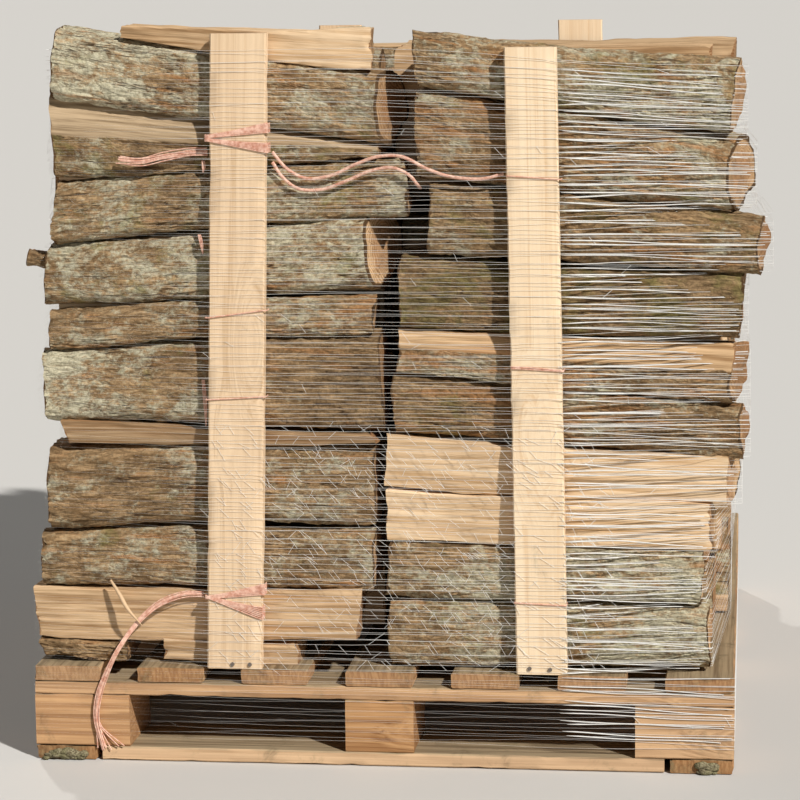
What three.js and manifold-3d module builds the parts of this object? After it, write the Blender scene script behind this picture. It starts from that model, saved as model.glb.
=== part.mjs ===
// A pallet of split firewood: two columns of half-metre logs lie across a block pallet, held between
// upright slats and tied with twine. Millimetres, +Z up, the front faces -Y.
// The origin is the middle of the pallet's underside.
import * as THREE from 'three';
import { mergeVertices } from 'three/addons/utils/BufferGeometryUtils.js';
import Module from 'manifold-3d';

const wasm = await Module();
wasm.setup();

// Clearance left between pieces that rest on each other.
const SEAM = 0.3;

// Pallet: bottom boards, blocks, stringers and deck boards, from the floor up.
const PALLET_WIDTH = 1000;
const PALLET_DEPTH = 1200;
const BOTTOM_BOARD_THICK = 20;
const BLOCK_HEIGHT = 76;
const STRINGER_THICK = 20;
const DECK_BOARD_THICK = 22;
const OUTER_BLOCK_WIDTH = 138;
const CENTRE_BLOCK_WIDTH = 98;
const CROSS_BOARD_DEPTH = 138;
const SIDE_BOARD_WIDTH = 89;
const DECK_BOARD_WIDTH = 96;
const DECK_BOARD_COUNT = 7;
const BOARD_GAP = 8;
const BLOCK_BASE = BOTTOM_BOARD_THICK;
const STRINGER_BASE = BLOCK_BASE + BLOCK_HEIGHT;
const DECK_BASE = STRINGER_BASE + STRINGER_THICK;
const DECK_TOP = DECK_BASE + DECK_BOARD_THICK;
const PALLET_FRONT = -PALLET_DEPTH / 2;
const PALLET_BACK = PALLET_DEPTH / 2;
const SIDE_BLOCK_X = (PALLET_WIDTH - OUTER_BLOCK_WIDTH) / 2;
const SIDE_BOARD_X = (PALLET_WIDTH - SIDE_BOARD_WIDTH) / 2;
const END_ROW_Y = (PALLET_DEPTH - CROSS_BOARD_DEPTH) / 2;

// Upright slats: foot is the left edge at the deck, lean is how far the top leans to the right.
const UPRIGHT_THICK = 20;
const UPRIGHTS = [
  { name: 'upright_front_left', foot: -247, width: 79, height: 898, lean: 23, front: PALLET_FRONT },
  { name: 'upright_front_right', foot: 195, width: 72, height: 876, lean: -13, front: PALLET_FRONT },
  { name: 'upright_back_left', foot: -262, width: 76, height: 884, lean: 9, front: PALLET_BACK - UPRIGHT_THICK },
  { name: 'upright_back_right', foot: 184, width: 78, height: 890, lean: -8, front: PALLET_BACK - UPRIGHT_THICK },
];

// Front logs. A column is stacked up from the deck: each log states its thickness at the column's
// left and right edge, so it lies on the one below. from and to are where its cut ends are.
const LOG_FRONT = PALLET_FRONT + UPRIGHT_THICK + 0.5;
const LOG_STEPS = 5;
const BARK_FACETS = 8;
const LOG_SETBACK = 7;
const LOG_SLIM = 0.05;
const LOG_DEEP = 1.3;
const SHALLOWEST_LOG = 96;
const DEEPEST_LOG = 142;
const LEFT_COLUMN = {
  edges: [-480, 10],
  logs: [
    { name: 'log_left_01', section: barkWedge, left: 31, right: 33, from: -500, to: -365 },
    { name: 'log_left_02', section: splitFace, left: 31, right: 33, from: -327, to: -116, beside: true },
    { name: 'log_left_03', section: splitFace, left: 77, right: 75, from: -505, to: -25 },
    { name: 'log_left_04', section: barkWedge, left: 82, right: 92, from: -495, to: -1 },
    { name: 'log_left_05', section: barkRound, left: 124, right: 122, from: -482, to: 0 },
    { name: 'log_left_06', section: splitFace, left: 37, right: 14, from: -457, to: 0 },
    { name: 'log_left_07', section: barkWedge, left: 101, right: 144, from: -488, to: 10 },
    { name: 'log_left_08', section: barkWedge, left: 59, right: 54, from: -475, to: 2 },
    { name: 'log_left_09', section: barkRound, left: 91, right: 106, from: -480, to: 26 },
    { name: 'log_left_10', section: barkWedge, left: 90, right: 80, from: -463, to: 48 },
    { name: 'log_left_11', section: splitOverBark, left: 120, right: 18, from: -463, to: 8 },
    { name: 'log_left_12', section: barkRound, left: 93, right: 101, from: -463, to: 34 },
    { name: 'log_left_13', section: splitFace, left: 3, right: 65, from: -357, to: -1 },
  ],
};
const RIGHT_COLUMN = {
  edges: [10, 515],
  logs: [
    { name: 'log_right_01', section: barkWedge, left: 100, right: 89, from: 8, to: 468 },
    { name: 'log_right_02', section: barkWedge, left: 87, right: 79, from: 4, to: 459 },
    { name: 'log_right_03', section: splitFace, left: 71, right: 69, from: 9, to: 473 },
    { name: 'log_right_04', section: splitFace, left: 73, right: 69, from: 6, to: 508 },
    { name: 'log_right_05', section: barkWedge, left: 88, right: 77, from: 17, to: 519 },
    { name: 'log_right_06', section: splitOverBark, left: 60, right: 82, from: 23, to: 518 },
    { name: 'log_right_07', section: barkRound, left: 109, right: 99, from: 29, to: 515 },
    { name: 'log_right_08', section: barkWedge, left: 104, right: 83, from: 70, to: 548 },
    { name: 'log_right_09', section: barkRound, left: 130, right: 104, from: 54, to: 525 },
    { name: 'log_right_10', section: barkWedge, left: 81, right: 107, from: 49, to: 512 },
  ],
};

// Logs stacked behind the front ones: rows up and files back in each column, as one body of their
// form. A few millimetres of every log's place and of its ends come from a repeatable scatter, and
// STACK_PRESS is how far a log's share swells so that neighbours press together.
const STACK_ROWS = 8;
const STACK_FILES = 8;
const STACK_FRONT = LOG_FRONT + LOG_SETBACK + DEEPEST_LOG + 2;
const STACK_BACK = PALLET_BACK - UPRIGHT_THICK - 1;
const STACK_TOP_FRONT = 1022;
const STACK_TOP_BACK = 998;
const STACK_JITTER = 0.42;
const STACK_EDGE_DIP = 34;
const STACK_INNER_END = [4, 22];
const STACK_OUTER_END = [462, 498];
const STACK_PRESS = 1.004;

// Twine: round, laid over the front of the logs and the pallet.
const TWINE_DIAMETER = 5;
const TWINE_SIDES = 8;
const TWINE_ON_LOGS = LOG_FRONT - TWINE_DIAMETER / 2 - 1.5;
const TWINE_ON_PALLET = PALLET_FRONT - TWINE_DIAMETER / 2 - 1.5;
const TWINES = {
  twine_loop: [
    [-252, TWINE_ON_LOGS, 243],
    [-283, TWINE_ON_LOGS - 2, 242],
    [-320, TWINE_ON_LOGS - 5, 227],
    [-353, TWINE_ON_LOGS - 11, 196],
    [-376, TWINE_ON_PALLET, 162],
    [-394, TWINE_ON_PALLET, 126],
    [-406, TWINE_ON_PALLET, 92],
    [-409, TWINE_ON_PALLET, 58],
    [-401, TWINE_ON_PALLET, 24],
  ],
  twine_cross_upper: [
    [-142, TWINE_ON_LOGS, 872],
    [-121, TWINE_ON_LOGS, 848],
    [-93, TWINE_ON_LOGS, 835],
    [-58, TWINE_ON_LOGS, 840],
    [-27, TWINE_ON_LOGS, 854],
    [5, TWINE_ON_LOGS, 865],
    [39, TWINE_ON_LOGS, 865],
    [74, TWINE_ON_LOGS, 848],
    [108, TWINE_ON_LOGS, 837],
    [149, TWINE_ON_LOGS, 834],
    [180, TWINE_ON_LOGS, 841],
  ],
  twine_cross_lower: [
    [-142, TWINE_ON_LOGS, 858],
    [-128, TWINE_ON_LOGS, 837],
    [-106, TWINE_ON_LOGS, 821],
    [-73, TWINE_ON_LOGS, 820],
    [-38, TWINE_ON_LOGS, 832],
    [-6, TWINE_ON_LOGS, 845],
    [24, TWINE_ON_LOGS, 850],
    [48, TWINE_ON_LOGS, 840],
    [59, TWINE_ON_LOGS + 8, 826],
    [60, TWINE_ON_LOGS + 34, 819],
  ],
  twine_tail: [
    [-233, TWINE_ON_LOGS, 873],
    [-261, TWINE_ON_LOGS, 871],
    [-296, TWINE_ON_LOGS, 866],
    [-328, TWINE_ON_LOGS, 860],
    [-356, TWINE_ON_LOGS, 862],
  ],
};

// Materials: colour, roughness and metalness.
const FINISHES = {
  bark: { color: 0x7d7059, roughness: 0.95, metalness: 0 },
  split_wood: { color: 0xcda878, roughness: 0.85, metalness: 0 },
  slat_wood: { color: 0xdcb98a, roughness: 0.8, metalness: 0 },
  pallet_wood: { color: 0xc09050, roughness: 0.85, metalness: 0 },
  twine: { color: 0xd99a86, roughness: 0.6, metalness: 0 },
};

const load = new THREE.Group();

function add(name, geometry, finish) {
  const mesh = new THREE.Mesh(geometry, new THREE.MeshStandardMaterial(FINISHES[finish]));
  mesh.name = name;
  load.add(mesh);
  return mesh;
}

// A number from 0 to 1 that is always the same for the same n.
function scatter(n) {
  const wave = Math.sin(n * 12.9898) * 43758.5453;
  return wave - Math.floor(wave);
}

function between([low, high], share) {
  return THREE.MathUtils.lerp(low, high, share);
}

// Pallet

function board(name, width, depth, thick, x, y, base) {
  const mesh = add(name, new THREE.BoxGeometry(width, depth, thick - SEAM), 'pallet_wood');
  mesh.position.set(x, y, base + (thick - SEAM) / 2);
}

function buildPallet() {
  const insideWidth = PALLET_WIDTH - 2 * SIDE_BOARD_WIDTH - 2 * BOARD_GAP;
  const rows = [['front', -END_ROW_Y], ['middle', 0], ['back', END_ROW_Y]];
  const files = [
    ['left', -SIDE_BLOCK_X, OUTER_BLOCK_WIDTH],
    ['centre', 0, CENTRE_BLOCK_WIDTH],
    ['right', SIDE_BLOCK_X, OUTER_BLOCK_WIDTH],
  ];
  for (const [side, x] of [['left', -SIDE_BOARD_X], ['right', SIDE_BOARD_X]]) {
    board(`bottom_board_${side}`, SIDE_BOARD_WIDTH, PALLET_DEPTH, BOTTOM_BOARD_THICK, x, 0, 0);
  }
  for (const [row, y] of rows) {
    board(`bottom_board_${row}`, insideWidth, CROSS_BOARD_DEPTH, BOTTOM_BOARD_THICK, 0, y, 0);
    board(`stringer_${row}`, PALLET_WIDTH, CROSS_BOARD_DEPTH, STRINGER_THICK, 0, y, STRINGER_BASE);
    for (const [file, x, width] of files) {
      board(`block_${row}_${file}`, width, CROSS_BOARD_DEPTH, BLOCK_HEIGHT, x, y, BLOCK_BASE);
    }
  }
  const pitch = (PALLET_WIDTH - DECK_BOARD_WIDTH) / (DECK_BOARD_COUNT - 1);
  for (let i = 0; i < DECK_BOARD_COUNT; i++) {
    const x = (i - (DECK_BOARD_COUNT - 1) / 2) * pitch;
    board(`deck_board_${i + 1}`, DECK_BOARD_WIDTH, PALLET_DEPTH, DECK_BOARD_THICK, x, 0, DECK_BASE);
  }
}

// Uprights: slats whose feet are cut level to stand on the deck.

function buildUprights() {
  for (const { name, foot, width, height, lean, front } of UPRIGHTS) {
    const face = new THREE.Shape();
    face.moveTo(foot, 0);
    face.lineTo(foot + width, 0);
    face.lineTo(foot + width + lean, height);
    face.lineTo(foot + lean, height);
    const slat = new THREE.ExtrudeGeometry(face, { depth: UPRIGHT_THICK, bevelEnabled: false });
    const mesh = add(name, slat, 'slat_wood');
    mesh.rotation.x = Math.PI / 2;
    mesh.position.set(0, front + UPRIGHT_THICK, DECK_TOP);
  }
}

// Log sections: 0 to 1 from front to back and from the underside up.

function barkWedge() {
  const section = new THREE.Shape();
  section.moveTo(1, 0.4);
  section.lineTo(0.95, 0.62);
  section.lineTo(0.34, 1);
  section.bezierCurveTo(-0.12, 0.86, -0.1, 0.12, 0.28, 0);
  return section;
}

function barkRound() {
  const section = new THREE.Shape();
  section.moveTo(0.98, 0.3);
  section.bezierCurveTo(1.05, 0.8, 0.8, 1, 0.5, 1);
  section.bezierCurveTo(-0.16, 1, -0.16, 0, 0.42, 0);
  return section;
}

function splitFace() {
  const section = new THREE.Shape();
  section.moveTo(0.05, 0);
  section.lineTo(0.6, 0.02);
  section.bezierCurveTo(1.15, 0.15, 1.1, 0.8, 0.66, 1);
  section.lineTo(0, 0.96);
  return section;
}

function splitOverBark() {
  const section = new THREE.Shape();
  section.moveTo(0.96, 0.25);
  section.lineTo(0.9, 0.9);
  section.lineTo(0.3, 1);
  section.lineTo(0.03, 0.46);
  section.bezierCurveTo(-0.03, 0.25, 0.05, 0, 0.3, 0);
  return section;
}

// One log between the lines it lies on and under, each given at the log's two ends.
function logGeometry(section, from, to, under, over, depth, seed) {
  const solid = new THREE.ExtrudeGeometry(section(), {
    depth: 1,
    steps: LOG_STEPS,
    bevelEnabled: false,
    curveSegments: BARK_FACETS,
  });
  solid.deleteAttribute('normal');
  solid.deleteAttribute('uv');
  const spots = solid.attributes.position;
  for (let i = 0; i < spots.count; i++) {
    const along = spots.getZ(i);
    const station = Math.round(along * LOG_STEPS);
    const setback = LOG_SETBACK * scatter(seed + station);
    const slim = LOG_SLIM * scatter(seed + station + 0.5);
    const height = 0.5 + (spots.getY(i) - 0.5) * (1 - slim);
    const low = between(under, along) + SEAM / 2;
    const high = between(over, along) - SEAM / 2;
    spots.setXYZ(
      i,
      THREE.MathUtils.lerp(from, to, along),
      LOG_FRONT + setback + spots.getX(i) * depth,
      THREE.MathUtils.lerp(low, high, height),
    );
  }
  return mergeVertices(solid, 1e-3);
}

function buildFrontLogs({ edges, logs }) {
  const level = (line, x) => between(line, (x - edges[0]) / (edges[1] - edges[0]));
  let under = [DECK_TOP, DECK_TOP];
  let over = under;
  logs.forEach(({ name, section, left, right, from, to, beside }, index) => {
    if (!beside) under = over;
    over = [under[0] + left, under[1] + right];
    const depth = THREE.MathUtils.clamp(LOG_DEEP * Math.max(left, right), SHALLOWEST_LOG, DEEPEST_LOG);
    const lines = [under, over].map((line) => [level(line, from), level(line, to)]);
    const finish = section === splitFace ? 'split_wood' : 'bark';
    const seed = 10 * (index + 1) + (from > 0 ? 500 : 0);
    add(name, logGeometry(section, from, to, ...lines, depth, seed), finish);
  });
}

// The stack behind: the plane of log ends is shared out among the logs' middles, each log getting
// the ground nearest to its own middle, and every share is drawn out along X.

function stackSites(side) {
  const rise = (STACK_TOP_FRONT - DECK_TOP) / STACK_ROWS;
  const pitch = (STACK_BACK - STACK_FRONT) / STACK_FILES;
  const slope = (STACK_TOP_BACK - STACK_TOP_FRONT) / (STACK_BACK - STACK_FRONT);
  const sites = [];
  const edges = [];
  for (let row = 0; row < STACK_ROWS; row++) {
    for (let file = 0; file < STACK_FILES; file++) {
      const seed = 1000 * side + 40 * row + 3 * file;
      const y = STACK_FRONT + pitch * (file + 0.25 + 0.5 * (row % 2) + STACK_JITTER * (scatter(seed) - 0.5));
      const z = DECK_TOP + rise * (row + 0.5 + STACK_JITTER * (scatter(seed + 1) - 0.5));
      const dip = STACK_EDGE_DIP * scatter(seed + 2);
      sites.push({ y, z, seed });
      if (row === STACK_ROWS - 1) {
        const top = STACK_TOP_FRONT + slope * (y - STACK_FRONT);
        edges.push({ y: y + dip - STACK_EDGE_DIP / 2, z: 2 * top - z - dip });
      }
      if (file === STACK_FILES - 1) {
        edges.push({ y: 2 * STACK_BACK - y - dip, z: z + dip - STACK_EDGE_DIP / 2 });
      }
    }
  }
  return { sites, edges };
}

// The part of an outline that is nearer to the point a than to the point b.
function nearerPart(outline, a, b) {
  const middle = { y: (a.y + b.y) / 2, z: (a.z + b.z) / 2 };
  const past = (p) => (p.y - middle.y) * (b.y - a.y) + (p.z - middle.z) * (b.z - a.z);
  const kept = [];
  outline.forEach((p, i) => {
    const q = outline[(i + 1) % outline.length];
    const here = past(p);
    const there = past(q);
    if (here <= 0) kept.push(p);
    if (here * there < 0) {
      const share = here / (here - there);
      kept.push({ y: p.y + share * (q.y - p.y), z: p.z + share * (q.z - p.z) });
    }
  });
  return kept;
}

function solidOf(geometry) {
  const solid = mergeVertices(geometry, 1e-3);
  const vertProperties = new Float32Array(solid.attributes.position.array);
  const triVerts = new Uint32Array(solid.index.array);
  return new wasm.Manifold(new wasm.Mesh({ numProp: 3, vertProperties, triVerts }));
}

function stackedLog(site, others, ground, side) {
  let outline = ground;
  for (const other of others) {
    if (other !== site) outline = nearerPart(outline, site, other);
  }
  const swollen = outline.map(
    ({ y, z }) => new THREE.Vector2(y - site.y, z - site.z).multiplyScalar(STACK_PRESS),
  );
  const face = new THREE.Shape(swollen);
  const inner = side * between(STACK_INNER_END, scatter(site.seed + 4));
  const outer = side * between(STACK_OUTER_END, scatter(site.seed + 5));
  const length = Math.abs(outer - inner);
  const log = new THREE.ExtrudeGeometry(face, { depth: length, bevelEnabled: false });
  log.deleteAttribute('normal');
  log.deleteAttribute('uv');
  const spots = log.attributes.position;
  const start = Math.min(inner, outer);
  for (let i = 0; i < spots.count; i++) {
    spots.setXYZ(i, start + spots.getZ(i), site.y + spots.getX(i), site.z + spots.getY(i));
  }
  return solidOf(log);
}

function buildStack(name, side) {
  const { sites, edges } = stackSites(side);
  const others = [...sites, ...edges];
  const ground = [
    { y: STACK_FRONT, z: DECK_TOP + 2 * SEAM },
    { y: STACK_BACK, z: DECK_TOP + 2 * SEAM },
    { y: STACK_BACK, z: STACK_TOP_FRONT },
    { y: STACK_FRONT, z: STACK_TOP_FRONT },
  ];
  const logs = sites.map((site) => stackedLog(site, others, ground, side));
  const joined = logs.reduce((whole, log) => whole.add(log)).getMesh();
  const geometry = new THREE.BufferGeometry();
  geometry.setAttribute('position', new THREE.BufferAttribute(new Float32Array(joined.vertProperties), 3));
  geometry.setIndex(new THREE.BufferAttribute(new Uint32Array(joined.triVerts), 1));
  add(name, geometry, 'bark');
}

// Twine

function buildTwine() {
  const section = new THREE.Shape();
  for (let i = 0; i < TWINE_SIDES; i++) {
    const angle = (2 * Math.PI * i) / TWINE_SIDES;
    const x = (TWINE_DIAMETER / 2) * Math.cos(angle);
    const y = (TWINE_DIAMETER / 2) * Math.sin(angle);
    if (i === 0) section.moveTo(x, y);
    else section.lineTo(x, y);
  }
  for (const [name, points] of Object.entries(TWINES)) {
    const path = new THREE.CatmullRomCurve3(points.map((point) => new THREE.Vector3(...point)));
    const steps = Math.round(path.getLength() / (3 * TWINE_DIAMETER));
    add(name, new THREE.ExtrudeGeometry(section, { extrudePath: path, steps }), 'twine');
  }
}

buildPallet();
buildUprights();
buildFrontLogs(LEFT_COLUMN);
buildFrontLogs(RIGHT_COLUMN);
buildStack('stacked_logs_left', -1);
buildStack('stacked_logs_right', 1);
buildTwine();

export default load;
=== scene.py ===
import math

import bpy
import numpy as np
from mathutils import Matrix, Vector
from mathutils.bvhtree import BVHTree


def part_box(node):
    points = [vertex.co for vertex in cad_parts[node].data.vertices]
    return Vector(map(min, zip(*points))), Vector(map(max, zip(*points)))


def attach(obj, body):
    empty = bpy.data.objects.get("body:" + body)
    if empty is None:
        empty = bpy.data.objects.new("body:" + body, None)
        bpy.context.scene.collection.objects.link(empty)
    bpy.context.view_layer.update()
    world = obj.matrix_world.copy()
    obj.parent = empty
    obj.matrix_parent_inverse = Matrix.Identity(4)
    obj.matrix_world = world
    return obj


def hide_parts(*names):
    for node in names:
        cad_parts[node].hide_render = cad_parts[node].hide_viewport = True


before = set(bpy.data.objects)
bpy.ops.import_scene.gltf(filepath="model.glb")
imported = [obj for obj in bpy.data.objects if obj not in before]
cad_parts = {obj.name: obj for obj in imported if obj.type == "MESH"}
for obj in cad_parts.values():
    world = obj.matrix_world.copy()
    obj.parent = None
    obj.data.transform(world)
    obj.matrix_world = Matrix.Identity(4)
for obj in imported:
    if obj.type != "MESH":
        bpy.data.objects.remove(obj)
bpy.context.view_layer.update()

# Camera, in metres and degrees: what it looks at, and from where.
CAMERA_TARGET = (-0.041, 0.0, 0.434)
CAMERA_BEARING = 7.2
CAMERA_RISE = 8.8
CAMERA_TILT = -0.67
CAMERA_DISTANCE = 4.5
CAMERA_LENS = 125.6
CAMERA_REACH = 400.0

# Light: a key from the upper right, a weak one from behind, and a sky that is palest at the horizon.
KEY_BEARING = 44.0
KEY_RISE = 40.0
KEY_STRENGTH = 4.25
BACK_BEARING = 205.0
BACK_RISE = 38.0
BACK_STRENGTH = 0.9
LAMP_WIDTH = 2.0
LAMP_DISTANCE = 4.0
LAMP_TINT = (1.0, 0.97, 0.92)
SKY_LOW = 0.17
SKY_HIGH = 0.06
SKY_BAND = (0.1, 0.45)
FLOOR_HALF = 200.0
FLOOR_HEIGHT = -0.001
FLOOR_PAINT = (203, 202, 200)
FLOOR_ROUGH = 0.9

# Bark and split wood, in metres.
RIDGE_DEPTH = 0.0024
RIDGE_WIDTH = 0.0115
RIDGE_LENGTH = 0.042
CRUMB_DEPTH = 0.0028
FIBRE_DEPTH = 0.0022
FIBRE_WIDTH = 0.010
FIBRE_LENGTH = 0.33
LUMP_DEPTH = 0.010
LUMP_SIZE = 0.085
EDGE_WEAR = 0.007
BARK_THICK = 0.009
YEAR_RING = 0.0052
# How much of the relief a sawn end gets.
END_RELIEF = 0.12
# How far a pattern moves on from one piece to the next, so that no two pieces are alike.
GRAIN_SHIFT = 3.7
SKIN_SHIFT = 5.3
# The rings of points that close an end, from its rim to its middle.
CAP_SHARES = (0.95, 0.82, 0.56, 0.27, 0.04)
# Corners sharper than this stay sharp in the shading, in degrees.
LOG_CREASE = 42
BOARD_CREASE = 35

# Patterns: how often each repeats in a metre, all ways alike or along, across and through the wood, then how
# detailed, how rough and how bent it is. The cracks in the ends repeat round the pith.
BARK_FISSURES = ((1 / RIDGE_LENGTH, 1 / RIDGE_WIDTH, 1.0), 3.0, 0.6, 0.7)
BARK_STREAKS = ((26.0, 150.0, 1.0), 4.0, 0.65, 0.3)
BARK_BLOTCHES = ((13.0, 21.0, 1.0), 4.0, 0.62, 0.3)
BARK_MOTTLE = ((95.0, 120.0, 1.0), 4.0, 0.75, 0.3)
BARK_PATCHES = ((12.0, 17.0, 1.0), 4.0, 0.6, 0.5)
BARK_RUST_RUNS = ((9.0, 56.0, 1.0), 5.0, 0.65, 0.4)
RIFT_SHADE_RUNS = ((3.4, 52.0, 1.0), 4.0, 0.6, 0.5)
BARK_ZONES = (8.0, 2.0, 0.55, 0.0)
BARK_GREENING = (14.0, 5.0, 0.7, 0.3)
BARK_GRIT = (210.0, 3.0, 0.7, 0.0)
BARK_FINE = (210.0, 4.0, 0.7, 0.0)
BARK_CRUMBS = (95.0, 2.0, 0.55, 0.0)
LICHEN_SPOTS = (120.0, 3.0, 0.7, 0.0)
RIM_SPOTS = (90.0, 3.0, 0.55, 0.0)
RIM_EDGE = (70.0, 3.0, 0.55, 0.0)
WOOD_STREAKS = ((5.0, 170.0, 170.0), 4.0, 0.65, 0.2)
WOOD_BANDS = ((3.0, 26.0, 26.0), 3.0, 0.6, 0.0)
RING_WOBBLE = (26.0, 2.0, 0.55, 0.0)
END_STAINS = (16.0, 4.0, 0.7, 0.0)
CHECK_SHADE_SPOKES = (2.0, 3.0, 0.6, 0.0)
WORN_SPOTS = (31.0, 4.0, 0.65, 0.0)
SAWN_KNOTS = (2.4, 9.0, 9.0)
SAWN_LINES = ((3.0, 150.0, 150.0), 4.0, 0.6, 0.15)
SAWN_BANDS = ((2.2, 24.0, 24.0), 3.0, 0.55, 0.0)
SAWN_VEINS = ((1.5, 88.0, 88.0), 5.0, 0.7, 0.3)
SAWN_END_LINES = ((0.0, 60.0, 240.0), 3.0, 0.55, 0.0)
SAWN_DIRT = (13.0, 6.0, 0.75, 0.4)
SAWN_GRIME_SPOTS = (60.0, 4.0, 0.7, 0.0)
TWINE_FIBRES = ((90.0, 2600.0, 1.0), 3.0, 0.6, 0.0)
TWINE_PATCHES = (160.0, 4.0, 0.7, 0.0)
NET_PATCHES = (40.0, 3.0, 0.55, 0.0)
MOSS_FINE = (420.0, 4.0, 0.7, 0.0)
MOSS_GREENING = (70.0, 3.0, 0.55, 0.0)
MOSS_BUMPS = (330.0, 3.0, 0.55, 0.0)
STEEL_SPOTS = (260.0, 4.0, 0.55, 0.0)
STEEL_PITS = (500.0, 3.0, 0.55, 0.0)

# Colours, from 0 to 255: one, or the two shades that a pattern runs between.
BARK_EARTH = ((122, 96, 66), (182, 152, 114))
BARK_LICHEN = ((162, 156, 126), (218, 213, 190))
BARK_RIM = ((52, 37, 25), (112, 86, 58))
BARK_RUST = (176, 126, 80)
BARK_MOSS = (126, 122, 70)
# The dark down in the bark's fissures: partly the bark's own colour there, partly painted shade.
FISSURE_DARK_AND_SHADE = (70, 52, 35)
# Painted shade: long rifts in the bark, drawn as dark lines with no relief of their own.
RIFT_SHADE_PAINT = (48, 33, 23)
WOOD_CLEAN = ((204, 168, 126), (238, 211, 176))
WOOD_DULL = ((142, 108, 72), (212, 178, 138))
WOOD_FADED = ((128, 112, 88), (182, 162, 134))
WOOD_WARM = (184, 130, 80)
END_OLD = ((128, 94, 62), (176, 140, 102))
END_NEW = ((190, 150, 106), (232, 200, 160))
END_HEART = (146, 100, 64)
END_STAIN = (132, 104, 74)
# Painted shade: the dark inside the drying cracks of sawn ends.
CHECK_SHADE = (70, 48, 30)
SAWN_GREY = ((98, 86, 66), (152, 138, 112))
SAWN_GRIME = ((62, 48, 34), (120, 112, 84))
SAWN_KNOT = (134, 84, 48)
SAWN_END = (138, 100, 66)
TWINE_PINK = ((198, 134, 110), (242, 204, 184))
NET_WHITE = ((226, 226, 222), (253, 253, 252))
MOSS_GREY = ((84, 74, 56), (158, 150, 122))
MOSS_GREEN = (118, 116, 80)
STEEL_BROWN = ((70, 58, 50), (132, 122, 112))
# The shades of sawn wood itself, each from the brownest board to the palest.
SAWN_DEEP = ((150, 104, 64), (234, 207, 172))
SAWN_LIGHT = ((206, 160, 112), (244, 221, 189))
SAWN_VEIN = ((116, 72, 38), (222, 188, 146))

# Front logs: how each was split, then how pale it is at its left and right ends, how orange and how mossy.
# A wedge has bark in front, a face its split side, a round bark all round, and an over a split side above
# its bark. Pale is about 0 to 1, and less than 0 is darker than usual.
FRONT_LOGS = {
    "log_left_01": ("wedge", (-0.5, -0.3), 0.3, 0.3),
    "log_left_02": ("face", (0.55, 0.6), 0.2, 0.0),
    "log_left_03": ("face", (0.4, 0.42), 0.35, 0.0),
    "log_left_04": ("wedge", (0.15, 0.35), 0.3, 0.25),
    "log_left_05": ("round", (0.15, 0.25), 0.3, 0.2),
    # Log_left_06 is darker than usual: partly its own dark streaks, partly painted shade from the log above.
    "log_left_06": ("face", (-0.45, -0.6), 0.6, 0.35),
    "log_left_07": ("wedge", (1.05, -0.6), 0.2, 0.2),
    "log_left_08": ("wedge", (0.1, 0.3), 0.4, 0.2),
    "log_left_09": ("round", (0.55, 0.85), 0.2, 0.4),
    "log_left_10": ("wedge", (0.45, 0.5), 0.25, 0.5),
    "log_left_11": ("over", (0.2, 0.0), 0.1, 0.6),
    "log_left_12": ("round", (1.1, 0.2), 0.25, 0.25),
    # Log_left_13 is darker and browner at its thin left end: partly its own colour, partly painted shade.
    "log_left_13": ("face", (0.1, 0.95), 0.2, 0.0),
    "log_right_01": ("wedge", (0.3, 1.0), 0.15, 0.3),
    "log_right_02": ("wedge", (0.3, 1.0), 0.15, 0.25),
    "log_right_03": ("face", (0.85, 1.0), 0.1, 0.0),
    "log_right_04": ("face", (0.75, 0.9), 0.2, 0.0),
    "log_right_05": ("wedge", (-0.2, 0.15), 0.5, 0.5),
    "log_right_06": ("over", (0.4, 0.1), 0.6, 0.1),
    "log_right_07": ("round", (-0.4, -0.3), 0.2, 0.9),
    "log_right_08": ("wedge", (-0.05, 0.1), 0.3, 0.5),
    "log_right_09": ("round", (0.0, 0.45), 0.6, 0.3),
    "log_right_10": ("wedge", (0.3, 0.75), 0.3, 0.6),
}
TOP_LOGS = ("log_left_13", "log_right_10")
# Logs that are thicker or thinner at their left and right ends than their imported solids.
FRONT_SWELL = {"log_left_12": (1.1, 1.0), "log_left_09": (1.0, 1.03)}
# How far a log's section is squeezed flat at its front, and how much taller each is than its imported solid, so
# that it presses on the log above; the two top logs press on nothing.
FRONT_FLAT = {"wedge": 2.3, "round": 2.3, "face": 1.0, "over": 2.5}
FRONT_PRESS = 1.07
# Right ends that were sawn askew, so that they show from the front: how much shorter the front is, in metres.
SKEW_ENDS = {
    "log_left_07": 0.012, "log_left_09": 0.034, "log_left_12": 0.03, "log_right_04": 0.024,
    "log_right_05": 0.014, "log_right_06": 0.03, "log_right_08": 0.01, "log_right_09": 0.034,
    "log_right_10": 0.02,
}
# Where the pith is in a section, and where bark ends: shares from front to back, then from the underside up.
PITHS = {"wedge": (0.97, 0.5), "round": (0.5, 0.5), "face": (-0.05, 0.5), "over": (0.93, 0.7)}
WEDGE_BARK = 0.36
FACE_BARK = 0.62
OVER_BARK = (0.34, 0.47)
# Points round a front log and along it, and how much closer they lie at the front.
FRONT_AROUND = 84
FRONT_STATIONS = 80
FRONT_CROWD = 0.36
# Probing a packed log, in metres: how far inside its ends, which points belong to an end, how far a ray that
# finds nothing is taken to go, and over how many stations the result is smoothed.
PROBE_INSET = 0.0006
PROBE_BAND = 0.002
PROBE_MISS = 0.02
PROBE_SMOOTH = 4
# How far logs bow, and how far saw cuts lean and waver, in metres.
FRONT_BOW = 0.003
END_LEAN = 0.022
FRONT_END_WAVE = 0.0014

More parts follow.
